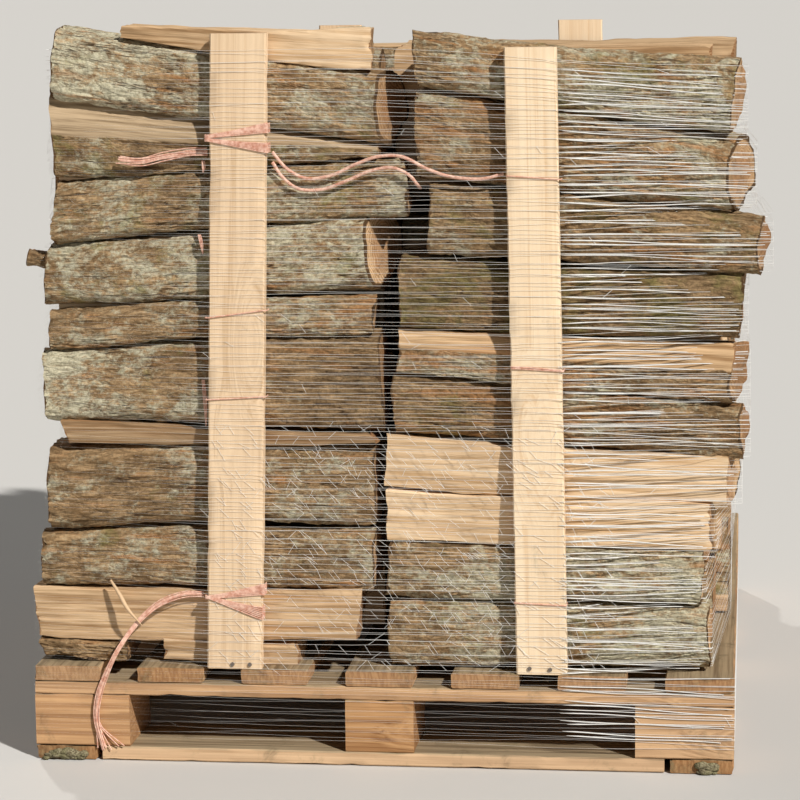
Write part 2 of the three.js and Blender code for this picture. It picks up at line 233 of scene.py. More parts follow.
# Logs behind: rows up and files back in each column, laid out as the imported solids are.
DECK_TOP = 0.138
STACK_ROWS = 8
STACK_FILES = 8
STACK_FRONT = -0.4285
STACK_BACK = 0.579
STACK_TOP_FRONT = 1.022
STACK_TOP_BACK = 0.998
STACK_STAGGER = (0.25, 0.75)
STACK_JITTER = 0.42
STACK_EDGE_DIP = 0.034
STACK_LIFT = 0.0006
STACK_INNER_END = (0.004, 0.022)
STACK_OUTER_END = (0.462, 0.498)
# Points round a log and along it, where it shows and where it hardly does.
STACK_FINE = (54, 50)
STACK_COARSE = (40, 8)
# How much of its room a log fills, how near the pith's far side bark begins, the share of the outer logs that
# turn their bark outwards, and the share that are whole rounds.
STACK_FILL = (0.955, 0.985)
STACK_BARK = (0.71, 0.85)
STACK_TURNED = 0.75
STACK_WHOLE = 0.18
STACK_BARK_SLACK = 0.0004
# How much logs thin along their length, and how pale, orange and mossy they are.
STACK_SWELL = 0.015
STACK_PALE = (-0.1, 1.0)
STACK_ORANGE = 0.6
STACK_MOSS = 0.6

# Boards: how pale, how orange and how dirty each kind is, from 0 to 1; less than 0 is darker than usual.
FOOT_TONE = (0.0, 0.2, 0.85)
CROSS_TONE = (0.42, 0.3, 0.3)
STRINGER_TONE = (0.2, 0.3, 0.3)
# The centre blocks are darker and dirtier than the others: partly their own grime, partly painted shade.
BLOCK_TONES = {"left": (0.1, 0.35, 0.2), "centre": (-0.25, 0.35, 0.3), "right": (0.26, 0.35, 0.2)}
DECK_BOARDS = 7
DECK_PALE = (0.05, 0.25)
DECK_ORANGE = 0.3
DECK_DIRTY = 0.5
SLAT_TONES = {"left": (0.74, 0.1, 0.05), "right": (1.0, 0.1, 0.05)}
# The spacing of their points, their eased corners and their relief, in metres.
BOARD_STEP = 0.016
BOARD_EDGE = 0.002
BOARD_RELIEF = {"Fibre Depth": 0.0005, "Fibre Width": 0.012, "Lump Depth": 0.0006}
BOARD_WEAR = 0.0028
ROTTEN_WEAR = 0.014
ROTTEN_FROM = 0.8

# Twine: thickness, and the points that each length of it follows, in metres.
TWINE = 0.005
ON_LOGS = -0.5835
ON_PALLET = -0.604
TWINE_LOOP = [
    (-0.252, ON_LOGS, 0.243), (-0.283, ON_LOGS - 0.002, 0.242), (-0.320, ON_LOGS - 0.005, 0.227),
    (-0.353, ON_LOGS - 0.011, 0.196), (-0.376, ON_PALLET, 0.162), (-0.394, ON_PALLET, 0.126),
    (-0.406, ON_PALLET, 0.092), (-0.409, ON_PALLET, 0.058), (-0.401, ON_PALLET, 0.024),
]
TWINE_CROSS_UPPER = [
    (-0.142, ON_LOGS, 0.872), (-0.121, ON_LOGS, 0.848), (-0.093, ON_LOGS, 0.835),
    (-0.058, ON_LOGS, 0.840), (-0.027, ON_LOGS, 0.854), (0.005, ON_LOGS, 0.865),
    (0.039, ON_LOGS, 0.865), (0.074, ON_LOGS, 0.848), (0.108, ON_LOGS, 0.837),
    (0.149, ON_LOGS, 0.834), (0.180, ON_LOGS, 0.841),
]
TWINE_CROSS_LOWER = [
    (-0.142, ON_LOGS, 0.858), (-0.128, ON_LOGS, 0.837), (-0.106, ON_LOGS, 0.821),
    (-0.073, ON_LOGS, 0.820), (-0.038, ON_LOGS, 0.832), (-0.006, ON_LOGS, 0.845),
    (0.024, ON_LOGS, 0.850), (0.048, ON_LOGS, 0.840), (0.059, ON_LOGS + 0.008, 0.826),
    (0.060, ON_LOGS + 0.034, 0.819),
]
TWINE_TAIL = [
    (-0.233, ON_LOGS, 0.873), (-0.261, ON_LOGS, 0.871), (-0.296, ON_LOGS, 0.866),
    (-0.328, ON_LOGS, 0.860), (-0.356, ON_LOGS, 0.862),
]
TWINE_STEP = 0.0018
# Laid twine: points round it, its strands, how deep the grooves between them are, and its twist in radians
# a metre.
ROPE_AROUND = 12
ROPE_STRANDS = 3
ROPE_GROOVE = 0.14
ROPE_TWIST = 420.0

# Ties round the uprights, in metres: the slat's two edges, the height at its left edge, the heights at its
# right edge that the fibres fan out between, and how many fibres there are.
TIES = [
    (-0.232, -0.146, 0.895, (0.899, 0.913), 8),
    (-0.232, -0.146, 0.890, (0.872, 0.886), 8),
    (-0.237, -0.152, 0.642, (0.652, 0.653), 1),
    (-0.239, -0.156, 0.526, (0.530, 0.531), 1),
    (-0.246, -0.163, 0.242, (0.246, 0.262), 8),
    (-0.246, -0.166, 0.242, (0.211, 0.230), 7),
    (0.186, 0.259, 0.839, (0.834, 0.835), 1),
    (0.191, 0.262, 0.574, (0.569, 0.571), 2),
    (0.194, 0.265, 0.241, (0.238, 0.239), 1),
]
TIE_RADIUS = 0.0009
TIE_SIDES = 6
TIE_BEHIND = -0.584
TIE_FRONT = -0.6014
# How a fibre comes round a slat's edge: how far in from the edge it is, and where it then lies.
TIE_WRAP = ((-0.0012, TIE_BEHIND), (-0.001, -0.6008), (0.004, TIE_FRONT))
TIE_GATHER = 0.004
TIE_BOW = 0.0012
TIE_STEP = 0.009
# Loose fibres: how many run beside the loop and the tail, and how wide a band they make.
LOOP_FIBRES = (7, 0.0085)
TAIL_FIBRES = (9, 0.0135)
BAND_STAND_OFF = 0.0012
BAND_SWAY = 0.25
BAND_STEP = 0.007
# The frayed foot of the loop and the bits in the shade of the left upright: places across and up.
LOOP_FOOT = [
    (-0.409, 0.018), (-0.403, 0.016), (-0.396, 0.019), (-0.389, 0.016), (-0.378, 0.021), (-0.370, 0.022),
]
LOOP_FOOT_FACE = -0.6035
LOOP_FOOT_TOP = (-0.408, -0.6045, 0.072)
LOOP_FOOT_MIDDLE = (-0.406, -0.605, 0.05)
LOOP_FOOT_SPREAD = 0.0008
LOOP_FOOT_STEP = 0.006
SHADED_BITS = [
    ((-0.249, 0.757), (-0.243, 0.730)),
    ((-0.248, 0.552), (-0.244, 0.486)),
    ((-0.241, 0.860), (-0.240, 0.844)),
]
SHADED_FIBRES = 3
SHADED_SPREAD = 0.002
SHADED_STEP = 0.008

# Small things, in metres: nail heads (places across and up, front and back), patches of moss (where, how far
# they spread and how many tufts they have), a splinter and a stub of branch.
NAILS_FRONT = [(-0.210, 0.145), (-0.185, 0.145), (0.214, 0.147), (0.243, 0.146)]
NAILS_BACK = [(-0.244, 0.147), (-0.211, 0.146), (0.199, 0.146), (0.239, 0.147)]
NAIL_FACE = 0.601
NAIL_RADIUS = 0.0029
NAIL_HEIGHT = 0.0022
NAIL_SIDES = 12
MOSS_PATCHES = [((-0.452, -0.601), 0.030, 42), ((0.462, -0.601), 0.014, 22)]
MOSS_LEAST = 0.0028
MOSS_MORE = 0.0042
MOSS_STRAY = 0.0015
MOSS_RISE = (0.6, 2.2)
MOSS_FORM = (1.7, 1.0, 0.8)
MOSS_ROUGH = 0.008
SPLINTER = [
    (-0.387, -0.588, 0.262), (-0.374, -0.592, 0.243), (-0.361, -0.597, 0.222), (-0.339, -0.599, 0.197),
]
SPLINTER_THICK = 0.0062
SPLINTER_STEP = 0.004
SPLINTER_TAPER = 0.7
BRANCH_STUB = [(-0.470, -0.548, 0.716), (-0.488, -0.548, 0.719), (-0.503, -0.549, 0.722)]
BRANCH_THICK = 0.026
BRANCH_STEP = 0.003
BRANCH_BARK = 0.004

# Net: strands wound round the whole load, in metres.
NET_LOW = 0.035
NET_HIGH = 1.012
NET_HELD = 0.965
NET_SAG = 0.028
NET_SAG_FROM = 0.86
NET_STRANDS = 176
NET_POINTS = 96
NET_RADIUS = 0.0005
NET_SIDES = 3
NET_STAND_OFF = 0.0012
# How strands waver up and down: two waves and how often they come round, a slow wander and a fine shake.
NET_WAVES = ((0.0012, 2), (0.001, 9))
NET_WANDER = 0.0016
NET_SHAKE = 0.0003
# The load as the net meets it.
LOAD_FRONT = -0.6
LOAD_DEPTH = 1.2
LOAD_HALF = 0.5
# How thick strands look, as a share of the radius: along the front, low in front and elsewhere.
NET_FRONT_PLACES = (-0.3, -0.24, 0.2, 0.3)
NET_FRONT_WEIGHTS = (0.12, 0.42, 0.45, 0.6)
NET_FRONT_FROM = -0.54
NET_LOW_SHARE = 0.5
NET_ELSEWHERE = 0.27
# Bunches run from the right upright's edge out to the logs' ends and drop a little on the way; how bold they
# are differs from one to the next and along each.
NET_BUNCHES = 128
NET_BUNCH_POINTS = 14
BUNCH_START = (0.255, 0.267)
BUNCH_SHORT = 0.02
BUNCH_RIGHT_OF = 0.1
BUNCH_IN_FRONT_OF = -0.5
BUNCH_DROP = 0.011
BUNCH_WAVE = 0.001
BUNCH_BOLD = (1.1, 2.1)
BUNCH_ALONG = (0, 0.06, 0.4, 1)
BUNCH_WEIGHTS = (0.4, 1.3, 1.0, 0.75)
# Broken threads: how many, the share low in front, where those lie among the strands and round them, how far
# each leans in steps along the strands, and how much thicker than the strands they look.
NET_THREADS = 900
THREADS_LOW = 0.6
THREAD_ROWS = (0.11, 0.47)
THREAD_PLACES = (0.19, 0.33)
THREAD_LEAN = (0.12, 0.37)
THREADS_BACK = 0.15
THREAD_WEIGHT = 1.1

# A length that no outline reaches, and one that is as good as nothing.
FAR = 9.0
TINY = 1e-9


def scatter(n):
    """A repeatable fraction from 0 to 1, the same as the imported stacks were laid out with."""
    value = math.sin(n * 12.9898) * 43758.5453
    return value - math.floor(value)


def between(ends, share):
    """What lies at a share of the way from one end to the other."""
    return ends[0] + (ends[1] - ends[0]) * share


def direction(bearing, rise):
    """The way from the load out to a bearing, turning right from its front, and a rise, in degrees."""
    turn = math.radians(bearing)
    tip = math.radians(rise)
    return Vector((math.sin(turn) * math.cos(tip), -math.cos(turn) * math.cos(tip), math.sin(tip)))


def paint(colour):
    """A colour given from 0 to 255, as linear light."""
    channels = []
    for value in colour:
        part = value / 255
        channels.append(part / 12.92 if part <= 0.04045 else ((part + 0.055) / 1.055) ** 2.4)
    return (*channels, 1.0)


def add_object(name, data):
    made = bpy.data.objects.new(name, data)
    bpy.context.scene.collection.objects.link(made)
    return made


# Camera, light and floor.


def make_camera():
    tilt = math.radians(CAMERA_TILT)
    back = direction(CAMERA_BEARING, CAMERA_RISE)
    level = direction(CAMERA_BEARING + 90, 0)
    above = back.cross(level)
    right = level * math.cos(tilt) + above * math.sin(tilt)
    up = above * math.cos(tilt) - level * math.sin(tilt)
    camera = add_object("camera", bpy.data.cameras.new("camera"))
    camera.data.lens = CAMERA_LENS
    camera.data.clip_end = CAMERA_REACH
    turn = Matrix((right, up, back)).transposed().to_4x4()
    camera.matrix_world = Matrix.Translation(Vector(CAMERA_TARGET) + back * CAMERA_DISTANCE) @ turn
    bpy.context.scene.camera = camera


def make_light():
    lamps = (("key", KEY_BEARING, KEY_RISE, KEY_STRENGTH), ("back", BACK_BEARING, BACK_RISE, BACK_STRENGTH))
    for name, bearing, rise, strength in lamps:
        lamp = bpy.data.lights.new(name, "SUN")
        lamp.energy = strength
        lamp.angle = math.radians(LAMP_WIDTH)
        lamp.color = LAMP_TINT
        way = direction(bearing, rise)
        holder = add_object(name, lamp)
        holder.rotation_euler = way.to_track_quat("Z", "Y").to_euler()
        holder.location = way * LAMP_DISTANCE
    world = bpy.data.worlds.new("studio")
    world.use_nodes = True
    w = Wiring(world.node_tree)
    upward = w.parts(w.node("ShaderNodeTexCoord").outputs["Generated"])[2]
    glow = w.ramp(w.calc("ABSOLUTE", upward), *SKY_BAND, SKY_LOW, SKY_HIGH)
    sky = w.node("ShaderNodeBackground", {"Color": (1.0, 1.0, 1.0, 1.0), "Strength": glow})
    w.node("ShaderNodeOutputWorld", {"Surface": sky.outputs[0]})
    bpy.context.scene.world = world
    bpy.context.scene.view_settings.view_transform = "Standard"


def make_floor():
    mesh = bpy.data.meshes.new("floor")
    corners = ((-1, -1), (1, -1), (1, 1), (-1, 1))
    points = [(x * FLOOR_HALF, y * FLOOR_HALF, FLOOR_HEIGHT) for x, y in corners]
    mesh.from_pydata(points, [], [(0, 1, 2, 3)])
    floor = add_object("floor", mesh)
    material = bpy.data.materials.new("floor")
    material.use_nodes = True
    surface = material.node_tree.nodes["Principled BSDF"]
    surface.inputs["Base Color"].default_value = paint(FLOOR_PAINT)
    surface.inputs["Roughness"].default_value = FLOOR_ROUGH
    mesh.materials.append(material)


# Node wiring for materials and for relief.


class Wiring:
    """Adds nodes to one tree and joins them up."""

    def __init__(self, tree):
        self.tree = tree
        tree.nodes.clear()

    def node(self, kind, sockets=None, **settings):
        made = self.tree.nodes.new(kind)
        for key, value in settings.items():
            setattr(made, key, value)
        for key, value in (sockets or {}).items():
            if isinstance(value, bpy.types.NodeSocket):
                self.tree.links.new(value, made.inputs[key])
            else:
                made.inputs[key].default_value = value
        return made

    def calc(self, operation, a, b=0.0):
        return self.node("ShaderNodeMath", {0: a, 1: b}, operation=operation).outputs[0]

    def times(self, a, b):
        return self.calc("MULTIPLY", a, b)

    def plus(self, base, value, share):
        """A base and a share of another value."""
        return self.calc("ADD", base, self.times(value, share))

    def minus(self, a, b):
        return self.calc("SUBTRACT", a, b)

    def from_half(self, value):
        """How far a value is from a half, either way."""
        return self.calc("ABSOLUTE", self.minus(value, 0.5))

    def vector(self, operation, a, b):
        return self.node("ShaderNodeVectorMath", {0: a, 1: b}, operation=operation).outputs[0]

    def join(self, x=0.0, y=0.0, z=0.0):
        return self.node("ShaderNodeCombineXYZ", {0: x, 1: y, 2: z}).outputs[0]

    def parts(self, at):
        return self.node("ShaderNodeSeparateXYZ", {0: at}).outputs

    def noise(self, at, scale, detail, rough=0.55, bend=0.0):
        sockets = {"Vector": at, "Scale": scale, "Detail": detail, "Roughness": rough, "Distortion": bend}
        return self.node("ShaderNodeTexNoise", sockets).outputs[0]

    def pattern(self, at, pattern):
        """One of the named patterns: a value that wanders about a half."""
        scale, detail, rough, bend = pattern
        if isinstance(scale, tuple):
            at = self.vector("MULTIPLY", at, scale)
            scale = 1.0
        return self.noise(at, scale, detail, rough, bend)

    def ramp(self, value, low, high, start=0.0, end=1.0):
        sockets = {"Value": value, "From Min": low, "From Max": high, "To Min": start, "To Max": end}
        return self.node("ShaderNodeMapRange", sockets, interpolation_type="SMOOTHSTEP").outputs[0]

    def tint(self, share, a, b, mode="MIX"):
        sockets = {0: share, 6: a, 7: b}
        return self.node("ShaderNodeMix", sockets, data_type="RGBA", blend_type=mode).outputs[2]

    def shades(self, share, pair):
        """A colour between two shades."""
        return self.tint(share, paint(pair[0]), paint(pair[1]))

    def shaded(self, colour, by):
        """A colour made darker or lighter."""
        return self.tint(1.0, colour, by, "MULTIPLY")

    def fact(self, name, socket="Fac"):
        """What a mesh stores under a name, for a material."""
        return self.node("ShaderNodeAttribute", attribute_name=name).outputs[socket]

    def stored(self, name, kind="FLOAT"):
        """What a mesh stores under a name, for a tree that shapes it."""
        reader = self.node("GeometryNodeInputNamedAttribute", {"Name": name}, data_type=kind)
        return reader.outputs["Attribute"]

    def place(self):
        return self.node("ShaderNodeTexCoord").outputs["Object"]

    def surface(self, colour, rough, shine, bump=None, depth=0.0, strength=0.0):
        """Ends a material: its colour, and how rough, how shiny and how uneven it is."""
        body = self.node("ShaderNodeBsdfPrincipled", {"Base Color": colour, "Roughness": rough})
        body.inputs["Specular IOR Level"].default_value = shine
        if bump is not None:
            dents = self.node("ShaderNodeBump", {"Height": bump, "Distance": depth, "Strength": strength})
            self.tree.links.new(dents.outputs[0], body.inputs["Normal"])
        self.node("ShaderNodeOutputMaterial", {"Surface": body.outputs[0]})


def new_material(name):
    material = bpy.data.materials.new(name)
    material.use_nodes = True
    return material, Wiring(material.node_tree)


def bark_gap(w, skin):
    """Bark: how far each spot is from the middle of a fissure, from 0 to about a half."""
    return w.from_half(w.pattern(skin, BARK_FISSURES))


def bark_plates(w, gap):
    """Bark: how far its plates stand up out of the fissures, from 0 to 1."""
    return w.ramp(gap, 0.0, 0.11)


def bark_colour(w, skin, gap, pale, orange, moss):
    """Streaked, blotched brown bark under lichen, rust, moss and grit; darker fissures (own colour and painted
    shade) and rifts of painted shade.
    """
    colour = w.shades(w.ramp(w.pattern(skin, BARK_STREAKS), 0.3, 0.68), BARK_EARTH)
    colour = w.shaded(colour, w.ramp(w.pattern(skin, BARK_BLOTCHES), 0.34, 0.6, 0.74, 1.06))
    cover = w.plus(w.times(w.pattern(skin, BARK_MOTTLE), 0.7), w.pattern(skin, BARK_PATCHES), 0.75)
    cover = w.plus(cover, pale, 0.2)
    lichen = w.shades(w.pattern(skin, LICHEN_SPOTS), BARK_LICHEN)
    colour = w.tint(w.ramp(cover, 0.75, 0.95, 0.0, 0.9), colour, lichen)
    rust = w.plus(w.pattern(skin, BARK_RUST_RUNS), orange, 0.2)
    colour = w.tint(w.ramp(rust, 0.59, 0.74, 0.0, 0.7), colour, paint(BARK_RUST))
    green = w.plus(w.pattern(skin, BARK_GREENING), moss, 0.2)
    colour = w.tint(w.ramp(green, 0.62, 0.78, 0.0, 0.6), colour, paint(BARK_MOSS))
    colour = w.shaded(colour, w.ramp(w.pattern(skin, BARK_GRIT), 0.3, 0.62, 0.66, 1.08))
    colour = w.shaded(colour, w.plus(0.85, pale, 0.22))
    # Fissures darker: partly the bark's own colour down in them, partly painted shade.
    colour = w.tint(w.ramp(gap, 0.0, 0.045, 0.42, 0.0), colour, paint(FISSURE_DARK_AND_SHADE))
    # Painted shade: long rifts drawn as dark lines, only in some zones, with no relief of their own.
    rift_shade = w.ramp(w.from_half(w.pattern(skin, RIFT_SHADE_RUNS)), 0.002, 0.014, 0.85, 0.0)
    rift_shade = w.times(rift_shade, w.ramp(w.pattern(skin, BARK_ZONES), 0.42, 0.56))
    return w.tint(rift_shade, colour, paint(RIFT_SHADE_PAINT))


def darkened(w, colour, pale):
    """Wood whose paleness is below 0, darker than usual."""
    return w.shaded(colour, w.ramp(pale, -0.6, 0.0, 0.7, 1.0))


def split_colour(w, grain, streaks, pale, orange, grey):
    """A split side: streaks along the grain, clean or dull, in places warm and where it is old faded."""
    lines = w.ramp(streaks, 0.3, 0.66)
    broad = w.pattern(grain, WOOD_BANDS)
    fresh = w.plus(w.times(broad, 0.6), pale, 0.7)
    colour = w.tint(w.ramp(fresh, 0.4, 1.0), w.shades(lines, WOOD_DULL), w.shades(lines, WOOD_CLEAN))
    warm = w.ramp(w.plus(broad, orange, 0.25), 0.62, 0.84, 0.0, 0.6)
    colour = w.tint(warm, colour, paint(WOOD_WARM))
    colour = w.tint(w.ramp(grey, 0.2, 0.8), colour, w.shades(lines, WOOD_FADED))
    return darkened(w, colour, pale)


def end_colour(w, grain, pale, depth):
    """A sawn end: year rings round the pith, a darker heart, stains, and drying cracks as dark lines of painted
    shade.
    """
    _, y, z = w.parts(grain)
    radius = w.calc("SQRT", w.plus(w.times(y, y), z, z))
    wobbly = w.plus(radius, w.pattern(grain, RING_WOBBLE), 0.03)
    rings = w.ramp(w.calc("SINE", w.times(wobbly, 2 * math.pi / YEAR_RING)), -1.0, 1.0)
    colour = w.tint(pale, w.shades(rings, END_OLD), w.shades(rings, END_NEW))
    colour = w.tint(w.ramp(depth, 0.014, 0.036, 0.0, 0.5), colour, paint(END_HEART))
    stain = w.ramp(w.pattern(grain, END_STAINS), 0.42, 0.75, 0.0, 0.7)
    colour = w.tint(stain, colour, paint(END_STAIN))
    # Painted shade: drying cracks drawn as dark lines that spread out from the pith.
    spokes = w.join(w.times(w.calc("ARCTAN2", z, y), 3.2), w.times(radius, 5.0))
    check_shade = w.from_half(w.pattern(spokes, CHECK_SHADE_SPOKES))
    return w.tint(w.ramp(check_shade, 0.002, 0.012, 0.8, 0.0), colour, paint(CHECK_SHADE))


def firewood_material():
    """Bark, split sides and sawn ends, each where the log's mesh says that it is."""
    material, w = new_material("firewood")
    skin = w.fact("skin", "Vector")
    grain = w.fact("grain", "Vector")
    pale, orange, moss = w.parts(w.fact("tone", "Vector"))
    cut = w.fact("cut")
    depth = w.fact("under_bark")
    streaks = w.pattern(grain, WOOD_STREAKS)
    split = split_colour(w, grain, streaks, pale, orange, moss)
    wood = w.tint(cut, split, end_colour(w, grain, pale, depth))
    rim = w.shades(w.pattern(skin, RIM_SPOTS), BARK_RIM)
    gap = bark_gap(w, skin)
    bark = w.tint(cut, bark_colour(w, skin, gap, pale, orange, moss), rim)
    edge = w.plus(depth, w.pattern(grain, RIM_EDGE), 0.006)
    barked = w.ramp(edge, BARK_THICK + 0.001, BARK_THICK + 0.0035, 1.0, 0.0)
    plates = w.times(bark_plates(w, gap), 0.6)
    relief = w.tint(barked, streaks, w.calc("ADD", plates, w.pattern(skin, BARK_FINE)))
    colour = w.tint(barked, wood, bark)
    w.surface(colour, rough=0.92, bump=relief, depth=0.003, strength=0.48, shine=0.15)
    return material


def sawn_material():
    """Sawn boards: lines and veins along the grain, knots, darker ends, grey rained-on tops and grime."""
    material, w = new_material("sawn_wood")
    grain = w.fact("grain", "Vector")
    pale, _, worn = w.parts(w.fact("tone", "Vector"))
    knot = {"Vector": w.vector("MULTIPLY", grain, SAWN_KNOTS), "Scale": 1.0}
    near = w.node("ShaderNodeTexVoronoi", knot).outputs["Distance"]
    swirl = w.ramp(near, 0.05, 0.34, 0.06, 0.0)
    bent = w.vector("ADD", grain, w.join(0.0, swirl, swirl))
    lines = w.pattern(bent, SAWN_LINES)
    share = w.plus(w.times(lines, 0.55), w.pattern(bent, SAWN_BANDS), 0.45)
    deep = w.shades(pale, SAWN_DEEP)
    light = w.shades(pale, SAWN_LIGHT)
    colour = w.tint(w.ramp(share, 0.34, 0.62), deep, light)
    vein = w.ramp(w.pattern(bent, SAWN_VEINS), 0.36, 0.48, 0.6, 0.0)
    colour = w.tint(vein, colour, w.shades(pale, SAWN_VEIN))
    colour = w.tint(w.ramp(near, 0.03, 0.09, 0.65, 0.0), colour, paint(SAWN_KNOT))
    end = w.tint(w.ramp(w.pattern(grain, SAWN_END_LINES), 0.3, 0.7), deep, light)
    colour = w.tint(w.fact("cut"), colour, w.tint(0.45, end, paint(SAWN_END)))
    upward = w.parts(w.node("ShaderNodeNewGeometry").outputs["Normal"])[2]
    rain = w.times(w.ramp(upward, 0.4, 0.9), w.ramp(worn, 0.08, 0.3, 0.0, 0.85))
    colour = w.tint(rain, colour, w.shades(w.ramp(lines, 0.3, 0.65), SAWN_GREY))
    # Grime patches, more where a board is dirtier; on the centre blocks part of this stands for painted shade.
    dirt = w.plus(w.pattern(grain, SAWN_DIRT), worn, 0.25)
    grime = w.shades(w.ramp(w.pattern(grain, SAWN_GRIME_SPOTS), 0.4, 0.6), SAWN_GRIME)
    colour = w.tint(w.ramp(dirt, 0.6, 0.86, 0.0, 0.8), colour, grime)
    colour = darkened(w, colour, pale)
    w.surface(colour, rough=0.85, bump=lines, depth=0.0014, strength=0.45, shine=0.2)
    return material


def twine_material():
    material, w = new_material("twine")
    fibres = w.pattern(w.fact("skin", "Vector"), TWINE_FIBRES)
    share = w.plus(w.times(fibres, 0.4), w.pattern(w.place(), TWINE_PATCHES), 0.6)
    colour = w.shades(w.ramp(share, 0.36, 0.62), TWINE_PINK)
    w.surface(colour, rough=0.55, bump=share, depth=0.0006, strength=0.5, shine=0.35)
    return material


def net_material():
    material, w = new_material("net")
    w.surface(w.shades(w.pattern(w.place(), NET_PATCHES), NET_WHITE), rough=0.32, shine=0.5)
    return material


def moss_material():
    material, w = new_material("moss")
    fine = w.pattern(w.place(), MOSS_FINE)
    green = w.ramp(w.pattern(w.place(), MOSS_GREENING), 0.45, 0.62, 0.0, 0.45)
    colour = w.tint(green, w.shades(w.ramp(fine, 0.35, 0.65), MOSS_GREY), paint(MOSS_GREEN))
    w.surface(colour, rough=0.95, bump=fine, depth=0.002, strength=0.7, shine=0.1)
    return material


def steel_material():
    material, w = new_material("nail_steel")
    colour = w.shades(w.pattern(w.place(), STEEL_SPOTS), STEEL_BROWN)
    pits = w.pattern(w.place(), STEEL_PITS)
    w.surface(colour, rough=0.5, bump=pits, depth=0.0004, strength=0.4, shine=0.5)
    return material


# Relief, strands, nails and tufts, as node trees that are applied and then taken off again.


def new_tree(name, sizes):
    """A node tree with a named input for each size and for the material."""
    tree = bpy.data.node_groups.new(name, "GeometryNodeTree")
    tree.interface.new_socket("Geometry", in_out="INPUT", socket_type="NodeSocketGeometry")
    for label, value in sizes.items():
        kind = "NodeSocketInt" if isinstance(value, int) else "NodeSocketFloat"
        tree.interface.new_socket(label, in_out="INPUT", socket_type=kind).default_value = value
    tree.interface.new_socket("Material", in_out="INPUT", socket_type="NodeSocketMaterial")
    tree.interface.new_socket("Geometry", in_out="OUTPUT", socket_type="NodeSocketGeometry")
    w = Wiring(tree)
    return w, w.node("NodeGroupInput").outputs


def end_tree(w, given, shape):
    """Ends a tree in a plain mesh with its material."""
    real = w.node("GeometryNodeRealizeInstances", {"Geometry": shape}).outputs[0]
    sockets = {"Geometry": real, "Material": given["Material"]}
    w.node("NodeGroupOutput", {"Geometry": w.node("GeometryNodeSetMaterial", sockets).outputs[0]})
    return w.tree


def pushed_out(w, shape, reach):
    """A mesh with each point moved out along its normal."""
    way = w.node("GeometryNodeInputNormal").outputs[0]
    push = w.node("ShaderNodeVectorMath", {0: way, "Scale": reach}, operation="SCALE").outputs[0]
    return w.node("GeometryNodeSetPosition", {"Geometry": shape, "Offset": push}).outputs[0]


def relief_tree():
    """Pushes bark into ridges, split wood into fibres, and worn edges in."""
    w, given = new_tree("wood_relief", {
        "Ridge Depth": RIDGE_DEPTH, "Fibre Depth": FIBRE_DEPTH, "Fibre Width": FIBRE_WIDTH,
        "Fibre Length": FIBRE_LENGTH, "Lump Depth": LUMP_DEPTH, "Lump Size": LUMP_SIZE,
        "Edge Wear": EDGE_WEAR,
    })
    skin = w.stored("skin", "FLOAT_VECTOR")
    barked = w.ramp(w.stored("under_bark"), 0.001, BARK_THICK, 1.0, 0.0)
    plates = w.minus(bark_plates(w, bark_gap(w, skin)), 1.0)
    crumbs = w.minus(w.pattern(skin, BARK_CRUMBS), 0.5)
    ridges = w.plus(w.times(plates, given["Ridge Depth"]), crumbs, CRUMB_DEPTH)
    often = [w.calc("DIVIDE", 1.0, given[size]) for size in ("Fibre Length", "Fibre Width", "Lump Size")]
    fibres = w.noise(w.vector("MULTIPLY", skin, w.join(often[0], often[1], 1.0)), 1.0, 3.0, 0.6)
    fibres = w.times(w.times(w.minus(fibres, 0.5), 2.0), given["Fibre Depth"])
    lumps = w.times(w.minus(w.noise(skin, often[2], 2.0), 0.55), given["Lump Depth"])
    shape = w.node("ShaderNodeMix", {0: barked, 2: fibres, 3: ridges}, data_type="FLOAT").outputs[0]
    worn = w.times(w.stored("edge"), w.ramp(w.pattern(skin, WORN_SPOTS), 0.5, 0.72))
    reach = w.minus(w.calc("ADD", shape, lumps), w.times(worn, given["Edge Wear"]))
    reach = w.times(reach, w.ramp(w.stored("side"), 0.0, 1.0, END_RELIEF, 1.0))
    return end_tree(w, given, pushed_out(w, given["Geometry"], reach))


def strand_tree():
    """Draws round strands along loose edges, as thick as each point says."""
    w, given = new_tree("strands", {"Radius": NET_RADIUS, "Sides": NET_SIDES})
    weight = w.stored("weight")
    line = w.node("GeometryNodeMeshToCurve", {"Mesh": given["Geometry"]}).outputs[0]
    line = w.node("GeometryNodeSetCurveRadius", {"Curve": line, "Radius": weight}).outputs[0]
    ring = {"Resolution": given["Sides"], "Radius": given["Radius"]}
    ring = w.node("GeometryNodeCurvePrimitiveCircle", ring).outputs[0]
    tube = {"Curve": line, "Profile Curve": ring, "Scale": weight, "Fill Caps": True}
    return end_tree(w, given, w.node("GeometryNodeCurveToMesh", tube).outputs[0])


def nail_tree():
    """Sets a round nail head on every point, turned to face the way the point faces."""
    w, given = new_tree("nails", {"Radius": NAIL_RADIUS, "Height": NAIL_HEIGHT})
    head = {"Vertices": NAIL_SIDES, "Side Segments": 1, "Radius": given["Radius"], "Depth": given["Height"]}
    head = w.node("GeometryNodeMeshCylinder", head).outputs[0]
    facing = w.stored("facing", "FLOAT_VECTOR")
    turn = w.node("FunctionNodeAlignRotationToVector", {"Vector": facing}, axis="Z").outputs[0]
    heads = {"Points": given["Geometry"], "Instance": head, "Rotation": turn}
    return end_tree(w, given, w.node("GeometryNodeInstanceOnPoints", heads).outputs[0])


